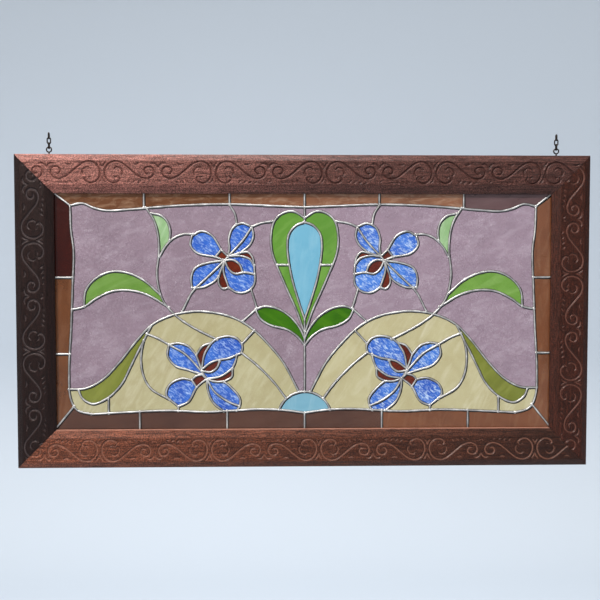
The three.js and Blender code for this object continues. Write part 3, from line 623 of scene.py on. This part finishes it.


# Each rail: grain turn, dark and light tones, hollow tone, roughness and gains. The hollow tone is painted light and
# shade: stain and painted shade on the top rail, a painted highlight on the others. The gains are painted light. The
# side rails' tones are darker than the top and bottom's, the left's far darker.
WOOD = {
    "rail_top": wood_material("wood_top", LEVEL, (0.042, 0.014, 0.011), (0.235, 0.095, 0.075), (0.045, 0.016, 0.013),
                              0.42, (2.15, 0.70, 0.46)),
    "rail_bottom": wood_material("wood_bottom", LEVEL, (0.028, 0.008, 0.004), (0.185, 0.058, 0.030),
                                 (0.34, 0.16, 0.11), 0.46, (1.75, 0.9, 0.29)),
    "rail_right": wood_material("wood_right", UPRIGHT, (0.016, 0.004, 0.002), (0.076, 0.018, 0.009),
                                (0.22, 0.095, 0.070), 0.46, (1.0, 1.0, 0.9)),
    "rail_left": wood_material("wood_left", UPRIGHT, (0.004, 0.002, 0.002), (0.018, 0.006, 0.005),
                               (0.12, 0.095, 0.095), 0.42, (0.85, 1.0, 1.0)),
}
# How each face looks: roughness, relief, clearness, and grit with its painted glints
CLEAR_FACE = (0.06, 0.5, 0.4, 0)
SMOOTH_FACE = (0.06, 0.4, 0.4, 0)
OPAL_FACE = (0.1, 0.3, 0.25, 0)
GRANULAR_FACE = (0.2, 0.6, 0.22, 0.38)
SANDY_FACE = (0.12, 0.3, 0.22, 0.15)
# Each sheet: its base, pale and deep colours; the share of its streaks, their turn in degrees, stretch and
# fineness; and its face
# The copies for the left half and the left crescent are darker versions of their sheets: painted shade
GLASS_SHEETS = {
    "amber": (((0.204, 0.0712, 0.0247), (0.342, 0.162, 0.0855), (0.142, 0.0475, 0.0171)), (0.4, 80, 4, 60), CLEAR_FACE),
    "amber_pale": (((0.315, 0.131, 0.0651), (0.483, 0.284, 0.179), (0.2, 0.0788, 0.0368)),
                   (0.9, 5, 3, 130), CLEAR_FACE),
    "amber_head": (((0.21, 0.078, 0.03), (0.42, 0.24, 0.14), (0.14, 0.048, 0.016)), (0.9, 5, 3, 130), CLEAR_FACE),
    "amber_right": (((0.246, 0.0884, 0.0372), (0.391, 0.205, 0.112), (0.177, 0.0605, 0.0251)),
                    (0.4, 80, 4, 60), CLEAR_FACE),
    "maroon": (((0.0558, 0.0064, 0.0032), (0.09, 0.016, 0.008), (0.036, 0.004, 0.0024)), (0.3, 80, 5, 45), SMOOTH_FACE),
    "maroon_light": (((0.12, 0.0478, 0.0276), (0.184, 0.092, 0.0644), (0.0828, 0.0322, 0.0202)),
                     (0.3, 10, 5, 45), SMOOTH_FACE),
    "plum": (((0.15, 0.078, 0.078), (0.24, 0.16, 0.16), (0.11, 0.055, 0.055)), (0.3, 10, 5, 45), SMOOTH_FACE),
    "mauve": (((0.336, 0.241, 0.296), (0.683, 0.58, 0.653), (0.285, 0.203, 0.252)), (0.25, 20, 2, 60), GRANULAR_FACE),
    "mauve_left_shaded": (((0.3, 0.212, 0.259), (0.63, 0.53, 0.6), (0.25, 0.176, 0.217)), (0.25, 20, 2, 60), GRANULAR_FACE),
    "yellow": (((0.564, 0.51, 0.294), (0.726, 0.68, 0.483), (0.488, 0.425, 0.227)), (0.5, 60, 4, 70), SANDY_FACE),
    "yellow_left_shaded": (((0.51, 0.461, 0.262), (0.68, 0.63, 0.44), (0.441, 0.384, 0.202)), (0.5, 60, 4, 70), SANDY_FACE),
    "green": (((0.141, 0.326, 0.0425), (0.308, 0.522, 0.132), (0.103, 0.269, 0.0284)), (0.35, 40, 5, 55), OPAL_FACE),
    "leaf_green": (((0.195, 0.374, 0.0646), (0.353, 0.552, 0.172), (0.146, 0.313, 0.0431)),
                   (0.4, 20, 5, 55), OPAL_FACE),
    "leaf_green_shaded": (((0.168, 0.322, 0.0556), (0.304, 0.475, 0.148), (0.126, 0.269, 0.0371)),
                        (0.4, 20, 5, 55), OPAL_FACE),
    "pale_green": (((0.333, 0.524, 0.257), (0.626, 0.768, 0.534), (0.242, 0.422, 0.164)), (0.5, 70, 5, 110), OPAL_FACE),
    "dark_green": (((0.0489, 0.181, 0.001), (0.128, 0.326, 0.01), (0.0274, 0.126, 0.001)),
                   (0.4, -30, 6, 60), (0.08, 0.3, 0.25, 0)),
    "olive": (((0.222, 0.247, 0.0347), (0.385, 0.4, 0.0924), (0.162, 0.18, 0.0208)), (0.4, 50, 6, 55), OPAL_FACE),
    "blue": (((0.0614, 0.212, 0.681), (0.66, 0.8, 0.96), (0.0201, 0.086, 0.474)),
             (1.0, -35, 2.5, 330), (0.1, 0.5, 0.2, 0)),
    "blue_left_shaded": (((0.045, 0.165, 0.62), (0.48, 0.64, 0.93), (0.015, 0.066, 0.42)),
                  (0.9, -35, 2.5, 330), (0.1, 0.5, 0.2, 0)),
    "light_blue": (((0.203, 0.487, 0.634), (0.39, 0.634, 0.73), (0.163, 0.439, 0.593)), (0.35, 85, 5, 60), OPAL_FACE),
    "grey_blue": (((0.235, 0.475, 0.585), (0.419, 0.627, 0.703), (0.193, 0.423, 0.542)), (0.35, 85, 5, 60), OPAL_FACE),
    "brown": (((0.16, 0.018, 0.004), (0.27, 0.05, 0.015), (0.09, 0.008, 0.002)),
              (0.35, 30, 5, 80), (0.08, 0.3, 0.35, 0)),
}
GLASS = {name: glass_material(f"{name}_glass", *sheet) for name, sheet in GLASS_SHEETS.items()}
SEAM_METAL = seam_material()
DARK_METAL = dark_metal_material()


# The carved rails
def half_motif():
    """Sample points of a half motif's strokes: places along and across the band, half widths and depths,
    each stroke tapering at its two ends."""
    places, halves, depths = [], [], []
    for width, share, points in STROKES:
        line = even_steps(smooth_line(points) / 1000, STROKE_STEP)
        u = np.linspace(0, 1, len(line))
        run = len(line) * STROKE_STEP
        taper = np.clip(np.minimum(u, 1 - u) * run / STROKE_TAPER, 0, 1) ** 0.6
        places.append(line)
        halves.append(STROKE_SPREAD * width / 2000 * (0.55 + 0.45 * taper))
        depths.append(share * CARVING_DEPTH * (0.35 + 0.65 * taper))
    return np.vstack(places), np.concatenate(halves), np.concatenate(depths)


MOTIF = half_motif()
SHARP_FROM = math.radians(35)   # a rail's edges that turn by more than this are shaded sharp
AT_ONCE = 4000                  # points whose carving is worked out together, to spare memory


def carved(along, across):
    """Depth of the carving at points of the band: a motif repeats along the rail and is a mirror image about
    its middle. Each stroke is a groove with nearly straight sides: with reach falling evenly from one on its line
    to nought at its side, it is as deep as the stroke's depth times reach times (1.35 less 0.35 of reach)."""
    places, halves, depths = MOTIF
    folded = np.abs((along + MOTIF_LENGTH / 2) % MOTIF_LENGTH - MOTIF_LENGTH / 2)
    depth = np.zeros_like(along)
    for start in range(0, len(along), AT_ONCE):
        part = slice(start, start + AT_ONCE)
        away = np.hypot(folded[part, None] - places[:, 0], across[part, None] - places[:, 1])
        reach = np.clip(1 - away / halves, 0, 1)
        cut = depths * reach * (1.35 - 0.35 * reach)
        depth[part] = cut.max(1)
    return depth


def moulding_front():
    """Front of the moulding as (across from the outer edge, depth): a bevel, a flat band and an inner slope,
    with its corners eased by averaging the broken line over EDGE_ROUND to each side."""
    bends = np.array([[0, BEVEL_DROP], [BEVEL_WIDTH, 0], [RAIL_WIDTH - INNER_SLOPE_WIDTH, 0],
                      [RAIL_WIDTH, INNER_SLOPE_DROP]])
    band_start, band_end = BEVEL_WIDTH - BAND_MARGIN, RAIL_WIDTH - INNER_SLOPE_WIDTH + BAND_MARGIN
    across = np.concatenate([
        np.linspace(0, band_start, BEVEL_STEPS, endpoint=False),
        np.linspace(band_start, band_end, BAND_STEPS, endpoint=False),
        np.linspace(band_end, RAIL_WIDTH, SLOPE_STEPS)])
    spread = np.linspace(-EDGE_ROUND, EDGE_ROUND, 9)
    depth = np.mean([np.interp(across + s, bends[:, 0], bends[:, 1]) for s in spread], 0)
    depth[[0, -1]] = BEVEL_DROP + EDGE_SETBACK, INNER_SLOPE_DROP + EDGE_SETBACK
    return across, depth


def make_rail(name, length, shift, turn, foot):
    """A mitred rail: the moulding's section carried along the rail. A point at share u of the length lies at
    (2u - 1) times the half length left at its distance from the outer edge, so both ends fall on the mitres,
    and the carving's depth is added on the band. The last step turns the rail about Y and moves it to foot."""
    across, depth = moulding_front()
    groove_top = RAIL_WIDTH - (PANEL_X - SIGHT_X) - CLEARANCE
    back = BACK - FRONT
    seam_front, seam_back = SEAM_FRONT - FRONT - CLEARANCE, SEAM_BACK - FRONT + CLEARANCE
    inside = [(RAIL_WIDTH, seam_front), (groove_top, seam_front), (groove_top, seam_back), (RAIL_WIDTH, seam_back),
              (RAIL_WIDTH, back), (0.0, back)]
    t = np.concatenate([across, [p[0] for p in inside]])
    y = np.concatenate([depth, [p[1] for p in inside]])
    columns = int(length / CARVING_STEP)
    share = np.linspace(-1, 1, columns)
    s = share[None, :] * (length / 2 - MITRE_GAP - t[:, None])
    cut = np.zeros_like(s)
    band = slice(1, len(across) - 1)
    middle = (BEVEL_WIDTH + RAIL_WIDTH - INNER_SLOPE_WIDTH) / 2
    along = (s[band] - shift).ravel()
    from_middle = (middle - t[band, None] + 0 * s[band]).ravel()
    cut[band] = carved(along, from_middle).reshape(s[band].shape)
    places = np.stack([s, y[:, None] + cut, -t[:, None] + 0 * s], -1).reshape(-1, 3)
    c, n = math.cos(turn), math.sin(turn)
    turned = places @ np.array([[c, 0, -n], [0, 1, 0], [n, 0, c]])
    turned += (foot[0], FRONT, foot[1])
    rows = len(t)
    faces = grid_faces(rows, columns, closed_rows=True)
    ends = [(np.arange(rows) * columns).tolist(), (np.arange(rows)[::-1] * columns + columns - 1).tolist()]
    piece = new_piece(name.replace("rail", "carved_rail"), turned, faces + ends, WOOD[name], "wood", [name])
    # The share of the carving's depth sets how much of the hollow tone, painted light and shade, each point takes
    painted_carving_shading = cut / CARVING_DEPTH
    if name == "rail_bottom":
        painted_carving_shading[len(across) - 1:len(across) + 1] = PAINTED_EDGE_HIGHLIGHT     # a painted highlight on the edge along the glass
    store(piece, "hollow", painted_carving_shading)
    piece.data.set_sharp_from_angle(angle=SHARP_FROM)


def make_rails():
    half_width = FRAME_WIDTH / 2
    make_rail("rail_top", FRAME_WIDTH, TOP_MOTIF_SHIFT, 0, (0, TOP))
    make_rail("rail_bottom", FRAME_WIDTH, FOOT_MOTIF_SHIFT, math.pi, (0, BOTTOM))
    make_rail("rail_right", FRAME_HEIGHT, -SIDE_MOTIF_SHIFT, math.pi / 2, (half_width, MIDDLE_Z))
    make_rail("rail_left", FRAME_HEIGHT, -SIDE_MOTIF_SHIFT, -math.pi / 2, (-half_width, MIDDLE_Z))


# The glass
def parted_glass():
    """The panel's rectangle parted by all seam lines into triangles, and each triangle's region: regions are
    found by passing the lowest number on between triangles that share an edge with no seam on it."""
    lines = seam_lines(OVERRUN)
    edge_x, edge_z = PANEL_X - GLASS_GAP, PANEL_Z - GLASS_GAP
    rim = np.array([(-edge_x, -edge_z), (edge_x, -edge_z), (edge_x, edge_z), (-edge_x, edge_z)])
    places, edges = [rim * 1000], [(0, 1), (1, 2), (2, 3), (3, 0)]
    count = 4
    for line in lines:
        places.append(np.clip(line, (-edge_x, -edge_z), (edge_x, edge_z)) * 1000)
        edges += [(count + i, count + i + 1) for i in range(len(line) - 1)]
        count += len(line)
    corners = [Vector(p) for p in np.vstack(places)]
    points, made_edges, faces, _, edge_from, _ = geometry.delaunay_2d_cdt(corners, edges, [], 0, 1e-4)
    points = np.array([tuple(p) for p in points]) / 1000
    faces = np.array(faces)
    barred = {tuple(sorted(e)) for e, source in zip(made_edges, edge_from) if source}
    sides = np.sort(np.stack([faces, np.roll(faces, -1, 1)], -1).reshape(-1, 2), 1)
    owner = np.repeat(np.arange(len(faces)), 3)
    order = np.lexsort((sides[:, 1], sides[:, 0]))
    sides, owner = sides[order], owner[order]
    same = (sides[1:] == sides[:-1]).all(1)
    free = np.array([same[i] and tuple(sides[i]) not in barred for i in range(len(same))])
    a, b = owner[:-1][free], owner[1:][free]
    region = np.arange(len(faces))
    while True:
        lowest = region.copy()
        np.minimum.at(lowest, a, region[b])
        np.minimum.at(lowest, b, region[a])
        lowest = lowest[lowest]
        if (lowest == region).all():
            return points, faces, region
        region = lowest


def region_at(points, faces, region, x, z):
    """The region of the triangle that holds a point."""
    a, b, c = (points[faces[:, i]] for i in range(3))
    turns = [(q[:, 0] - p[:, 0]) * (z - p[:, 1]) - (q[:, 1] - p[:, 1]) * (x - p[:, 0])
             for p, q in ((a, b), (b, c), (c, a))]
    held = (np.min(turns, 0) >= 0) | (np.max(turns, 0) <= 0)
    return int(region[np.flatnonzero(held)[0]])


def pane_mesh(points, faces):
    """A slab of glass from flat triangles: its outline is drawn in by GLASS_GAP from the seam's middle, and
    each outline edge gets a side face."""
    used, triangles = np.unique(faces, return_inverse=True)
    triangles = triangles.reshape(-1, 3)
    flat = points[used].copy()
    a, b, c = (flat[triangles[:, i]] for i in range(3))
    turned = (b[:, 0] - a[:, 0]) * (c[:, 1] - a[:, 1]) - (b[:, 1] - a[:, 1]) * (c[:, 0] - a[:, 0]) < 0
    triangles[turned] = triangles[turned][:, ::-1]
    sides = np.stack([triangles, np.roll(triangles, -1, 1)], -1).reshape(-1, 2)
    known = {tuple(s) for s in sides.tolist()}
    rim = np.array([s for s in sides.tolist() if (s[1], s[0]) not in known])
    run = flat[rim[:, 1]] - flat[rim[:, 0]]
    inward = np.stack([-run[:, 1], run[:, 0]], 1) / (np.linalg.norm(run, axis=1)[:, None] + 1e-12)
    shift = np.zeros_like(flat)
    np.add.at(shift, rim[:, 0], inward)
    np.add.at(shift, rim[:, 1], inward)
    size = np.linalg.norm(shift, axis=1)[:, None]
    flat += np.where(size > 0.2, shift / np.maximum(size, 0.2) * GLASS_GAP, 0)
    count = len(flat)
    front = np.stack([flat[:, 0], np.full(count, GLASS_FRONT), flat[:, 1] + MIDDLE_Z], 1)
    back = front + (0, GLASS_BACK - GLASS_FRONT, 0)
    shell = [*triangles.tolist(), *(triangles[:, ::-1] + count).tolist()]
    shell += [[int(q), int(p), int(p) + count, int(q) + count] for p, q in rim]
    return np.vstack([front, back]), shell


def make_panes():
    points, faces, region = parted_glass()
    taken = {}

    def pane(name, node, finish, point, side=1):
        x, z = placed(point, side)
        number = region_at(points, faces, region, x, z)
        if number in taken:
            raise ValueError(f"{name} and {taken[number]} are one pane")
        taken[number] = name
        places, shell = pane_mesh(points, faces[region == number])
        sheet = SHEET_OF.get(name, SHADED_LEFT_SHEETS.get(finish, finish) if side < 0 else finish)
        new_piece(name, places, shell, GLASS[sheet], SLOT_OF.get(finish, finish), [node], smooth=False)

    for finish, nodes in PANES.items():
        for node, seeds in nodes.items():
            for side, word in ((1, "right"), (-1, "left")):
                for i, point in enumerate(seeds):
                    cad = node if node in WHOLE_WIDTH_NODES else f"{node}_{word}"
                    number = f"_{i + 1}" if len(seeds) > 1 else ""
                    pane(f"{finish}_{node}_{word}{number}", cad, finish, point, side)
    for finish, nodes in MIDDLE_PANES.items():
        for node, point in nodes.items():
            pane(f"{finish}_{node}", node, finish, point)


# The leading
def bead_mesh(lines, face_y, top_y):
    """Half-round beads: at each step of a line the section is a dome from one side of the seam to the other,
    its height one minus the square of the way across, to the power of BEAD_ROUND, and its width and height
    waver a little along the line, as beads run by hand do. A low dark foot of putty and patina runs past both
    sides, where each point's rim value is 1; on a side that faces the picture's lower right it is widened by painted
    shadow."""
    places, faces, count, rims = [], [], 0, []
    across = np.array(BEAD_ACROSS)
    dome = np.clip(1 - across ** 2, 0.008, 1) ** BEAD_ROUND
    sink = math.copysign(SINK, face_y - top_y)
    for number, line in enumerate(lines):
        run = np.gradient(line, axis=0)
        run /= np.linalg.norm(run, axis=1)[:, None]
        side = np.stack([-run[:, 1], run[:, 0]], 1)
        at = np.arange(len(line)) * SEAM_STEP
        waver = 1 + 0.05 * np.sin(at * 190 + number * 1.7) + 0.04 * np.sin(at * 410 + number * 2.9)
        half = SEAM_WIDTH / 2 * waver
        reach = np.tile(across, (len(line), 1))
        # The foot is widened by painted shadow on sides that face SHADED_SIDE
        facing = side @ SHADED_SIDE
        reach[:, 0] = -FOOT_REACH - PAINTED_SHADOW_MORE * np.clip(-facing, 0, 1)
        reach[:, -1] = FOOT_REACH + PAINTED_SHADOW_MORE * np.clip(facing, 0, 1)
        plan = line[:, None] + side[:, None] * (half[:, None] * reach)[..., None]
        rise = face_y + (top_y - face_y) * dome * (0.94 + 0.06 * np.sin(at * 260 + number))[:, None]
        top = np.stack([plan[..., 0], rise, plan[..., 1] + MIDDLE_Z], -1)
        foot = np.stack([plan[:, [-1, 0], 0], np.full((len(line), 2), face_y + sink),
                         plan[:, [-1, 0], 1] + MIDDLE_Z], -1)
        ring = np.concatenate([top, foot], 1)
        rows, size = ring.shape[:2]
        faces += grid_faces(rows, size, closed_columns=True, start=count)
        faces += [[count + i for i in range(size)][::-1], [count + (rows - 1) * size + i for i in range(size)]]
        places.append(ring.reshape(-1, 3))
        rims.append(np.tile(BEAD_RIM, rows))
        count += rows * size
    return places, faces, count, rims


def blob_mesh(spots, face_y, top_y, start):
    """Solder blobs where seams meet: flat domes whose height falls as a quarter circle from the middle, their
    rims wavering with the angle."""
    rings, around = 4, 14
    r = np.sin(np.linspace(0, math.pi / 2, rings + 1))[1:]
    angle = round_steps(around)
    sink = math.copysign(SINK, face_y - top_y)
    places, faces = [], []
    for number, (x, z, size) in enumerate(spots):
        reach = size * (1 + 0.10 * np.sin(2 * angle + number) + 0.07 * np.sin(3 * angle + 2 * number))
        height = (top_y - face_y) * np.sqrt(np.clip(1 - r ** 2, 0, 1))
        px = x + r[:, None] * reach * np.cos(angle)
        pz = z + MIDDLE_Z + r[:, None] * reach * np.sin(angle)
        py = np.broadcast_to((face_y + height)[:, None], px.shape).copy()
        py[-1] = face_y + sink
        cap = np.array([[x, top_y, z + MIDDLE_Z]])
        places += [cap, np.stack([px, py, pz], -1).reshape(-1, 3)]
        faces += [[start, start + 1 + i, start + 1 + (i + 1) % around] for i in range(around)]
        faces += grid_faces(rings, around, closed_columns=True, start=start + 1)
        faces.append([start + 1 + (rings - 1) * around + i for i in range(around)][::-1])
        start += 1 + rings * around
    return places, faces


def meeting_places():
    """Where a line ends on another: each line's end points inside the opening, near ones merged."""
    spots = []
    for line in seam_lines():
        for x, z in (line[0], line[-1]):
            inside = abs(x) < SIGHT_X - 0.002 and abs(z) < SIGHT_Z - 0.002
            if inside and all(math.hypot(x - a, z - b) > BLOB_APART for a, b, _ in spots):
                spots.append((x, z, SEAM_WIDTH * (0.80 + 0.1 * math.sin(len(spots) * 2.3))))
    return spots


def make_leading():
    rim_x, rim_z = PANEL_X - SEAM_WIDTH / 2 - CLEARANCE, PANEL_Z - SEAM_WIDTH / 2 - CLEARANCE
    corners = np.array([(-rim_x, -rim_z), (rim_x, -rim_z), (rim_x, rim_z), (-rim_x, rim_z), (-rim_x, -rim_z)])
    rim = [even_steps(corners[i:i + 2], SEAM_STEP * 4) for i in range(4)]
    lines = [line[(np.abs(line) < (PANEL_X - 0.001, PANEL_Z - 0.001)).all(1)] for line in seam_lines()]
    spots = meeting_places()
    for word, face_y, top_y in (("front", GLASS_FRONT, SEAM_FRONT), ("back", GLASS_BACK, SEAM_BACK)):
        blob_top = top_y + math.copysign(BLOB_RISE, top_y - face_y)
        places, faces, count, rims = bead_mesh(lines + rim, face_y, top_y)
        more, more_faces = blob_mesh(spots, face_y, blob_top, count)
        places = np.vstack(places + more)
        piece = new_piece(f"seams_{word}", places, faces + more_faces, SEAM_METAL, "leading", ["leading"])
        values = np.zeros(len(places))
        values[:count] = np.concatenate(rims)
        store(piece, "rim", values)
        merge(piece)


def merge(piece, within=1e-6):
    """Joins points that lie together and turns each closed shell's faces outwards."""
    work = bmesh.new()
    work.from_mesh(piece.data)
    bmesh.ops.remove_doubles(work, verts=work.verts, dist=within)
    bmesh.ops.recalc_face_normals(work, faces=work.faces)
    work.to_mesh(piece.data)
    work.free()


# The metal: screw eyes and links
def ring_tube(path, square, wire_width, sides=12):
    """A round wire round a closed flat ring of points: each section is a circle in the plane of the ring's
    outward direction and its axis."""
    along = np.roll(path, -1, 0) - np.roll(path, 1, 0)
    out = np.cross(along, square)
    out /= np.linalg.norm(out, axis=1)[:, None]
    angle = round_steps(sides)
    places = (path[:, None] + out[:, None] * (wire_width / 2 * np.cos(angle))[None, :, None]
              + np.array(square)[None, None] * (wire_width / 2 * np.sin(angle))[None, :, None])
    return places.reshape(-1, 3), grid_faces(len(path), sides, True, True)


def make_hanging(word):
    """A screw eye, a ring on a neck with a collar, and the links above it, each a stretched ring turned a
    quarter from the last."""
    low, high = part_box(f"screw_eye_{word}")
    x, y = (low.x + high.x) / 2, (FRONT + BACK) / 2
    eye_z = TOP + EYE_NECK + EYE_WIRE / 2 + EYE_RING / 2
    angle = round_steps(40)
    ring = np.stack([x + EYE_RING / 2 * np.cos(angle), y + 0 * angle, eye_z + EYE_RING / 2 * np.sin(angle)], 1)
    places, faces = ring_tube(ring, (0, 1, 0), EYE_WIRE)
    neck_top = EYE_NECK + 0.0009
    heights = TOP + np.array([-SHANK_SHOWN, -SHANK_SHOWN, 0.0001, 0.0001, 0.0006, 0.0009, EYE_NECK, neck_top, neck_top])
    widths = np.array([0, 1, 1, 1.15, 1.15, 1, 1, 0.9, 0]) * EYE_WIRE / 2
    turn = round_steps(NECK_SIDES)
    neck = np.stack([x + widths[:, None] * np.cos(turn), y + widths[:, None] * np.sin(turn),
                     heights[:, None] + 0 * turn], -1).reshape(-1, 3)
    faces += grid_faces(len(heights), NECK_SIDES, closed_columns=True, start=len(places))
    eye = new_piece(f"smooth_screw_eye_{word}", np.vstack([places, neck]), faces, DARK_METAL, "dark_metal",
                    [f"screw_eye_{word}"])
    merge(eye)
    first = eye_z + EYE_RING / 2 + LINK_LENGTH / 2 - (EYE_WIRE + LINK_WIRE) / 2 - CLEARANCE
    straight = (LINK_LENGTH - LINK_WIDTH) / 2
    for i in range(LINK_COUNT):
        height = first + i * (LINK_LENGTH - LINK_WIRE + LINK_BITE)
        wide = LINK_WIDTH / 2 * np.cos(angle)
        up = LINK_WIDTH / 2 * np.sin(angle) + np.sign(np.sin(angle)) * straight
        flat = 0 * angle
        path = np.stack([x + (wide if i % 2 else flat), y + (flat if i % 2 else wide), height + up], 1)
        places, faces = ring_tube(path, (0, 1, 0) if i % 2 else (1, 0, 0), LINK_WIRE)
        link = new_piece(f"link_{word}_{i + 1}", places, faces, DARK_METAL, "dark_metal", [f"chain_{word}"])
        merge(link)


make_rails()
make_panes()
make_leading()
make_hanging("left")
make_hanging("right")


# The stage, the light and the camera
BRIGHT_SKY = (-0.45, -0.25, 0.86)


def make_stage():
    """A pale floor that runs up into a pale backdrop."""
    bend = np.linspace(0, math.pi / 2, 12)
    floor_z, front_y, back_y, back_top, radius, half_width = BOTTOM - 0.9, -9, 2.6, 6, 0.8, 14
    curve = np.stack([back_y - radius + radius * np.sin(bend), floor_z + radius - radius * np.cos(bend)], 1)
    profile = np.vstack([[(front_y, floor_z)], curve, [(back_y, back_top)]])
    places = [(x, y, z) for x in (-half_width, half_width) for y, z in profile]
    made, _, shader, _ = material("backdrop_paper")
    shader.inputs["Base Color"].default_value = (0.49, 0.545, 0.61, 1)
    shader.inputs["Roughness"].default_value = 0.9
    sweep = new_piece("backdrop", places, grid_faces(2, len(profile)), made, None)


def area_light(name, place, target, size, power, colour):
    """A card that lights the part from place and isn't seen itself."""
    data = bpy.data.lights.new(name, "AREA")
    data.shape = "RECTANGLE"
    data.size, data.size_y = size
    data.energy = power
    data.color = colour
    lamp = bpy.data.objects.new(name, data)
    lamp.location = place
    lamp.rotation_euler = (Vector(target) - Vector(place)).to_track_quat("-Z", "Y").to_euler()
    lamp.visible_camera = False
    bpy.context.scene.collection.objects.link(lamp)


def sun_light(name, azimuth, elevation, strength, angle, colour):
    """A far lamp. Azimuth 0 shines along +Y, and a lamp at a negative azimuth stands to the left."""
    data = bpy.data.lights.new(name, "SUN")
    data.energy, data.angle, data.color = strength, math.radians(angle), colour
    lamp = bpy.data.objects.new(name, data)
    a, e = math.radians(azimuth), math.radians(elevation)
    toward = Vector((-math.sin(a) * math.cos(e), math.cos(a) * math.cos(e), -math.sin(e)))
    lamp.rotation_euler = toward.to_track_quat("-Z", "Y").to_euler()
    bpy.context.scene.collection.objects.link(lamp)


def make_light():
    """A sun from the left, a card for the sheen of the top rail, one overhead for the carving, soft light from
    behind and from the front, and a sky that is brightest towards BRIGHT_SKY."""
    middle = (0, 0, MIDDLE_Z)
    sun_light("key_light", -42, 46, 2.95, 2.0, (1.0, 0.97, 0.93))
    area_light("sheen_card", (-0.75, -1.5, 0.40), (-0.25, 0, TOP - 0.05), (0.5, 0.4), 5, (1.0, 0.97, 0.96))
    area_light("top_card", (-0.3, -0.18, 1.1), (-0.1, -0.05, MIDDLE_Z), (2.0, 0.3), 34, (0.97, 0.98, 1))
    area_light("back_light", (0.7, 1.6, 0.9), middle, (1.2, 0.8), 12, (0.97, 0.98, 1))
    area_light("fill_light", (0.9, -2.2, 0.3), middle, (1.6, 1.2), 2, (0.90, 0.95, 1))
    world = bpy.data.worlds.new("studio")
    bpy.context.scene.world = world
    world.use_nodes = True
    sky = world.node_tree
    toward = add(sky, "ShaderNodeVectorMath", operation="DOT_PRODUCT")
    wire(sky, add(sky, "ShaderNodeTexCoord").outputs["Generated"], toward.inputs[0])
    toward.inputs[1].default_value = BRIGHT_SKY
    rise = plus(sky, times(sky, toward.outputs["Value"], 0.5), 0.5)
    shade = ramp(sky, rise, (0.35, (0.12, 0.125, 0.135)), (0.6, (0.60, 0.65, 0.72)), (0.85, 1.0))
    wire(sky, shade, sky.nodes["Background"].inputs["Color"])
    sky.nodes["Background"].inputs["Strength"].default_value = 0.34
    bpy.context.scene.view_settings.view_transform = "Standard"


def make_camera():
    data = bpy.data.cameras.new("photo_camera")
    data.sensor_width = 36
    data.lens = 48.79
    camera = bpy.data.objects.new("photo_camera", data)
    camera.location = (-0.0402, -1.3, -0.2111)
    camera.rotation_euler = [math.radians(a) for a in (87.623, 0.012, -1.450)]
    bpy.context.scene.collection.objects.link(camera)
    bpy.context.scene.camera = camera


make_stage()
make_light()
make_camera()
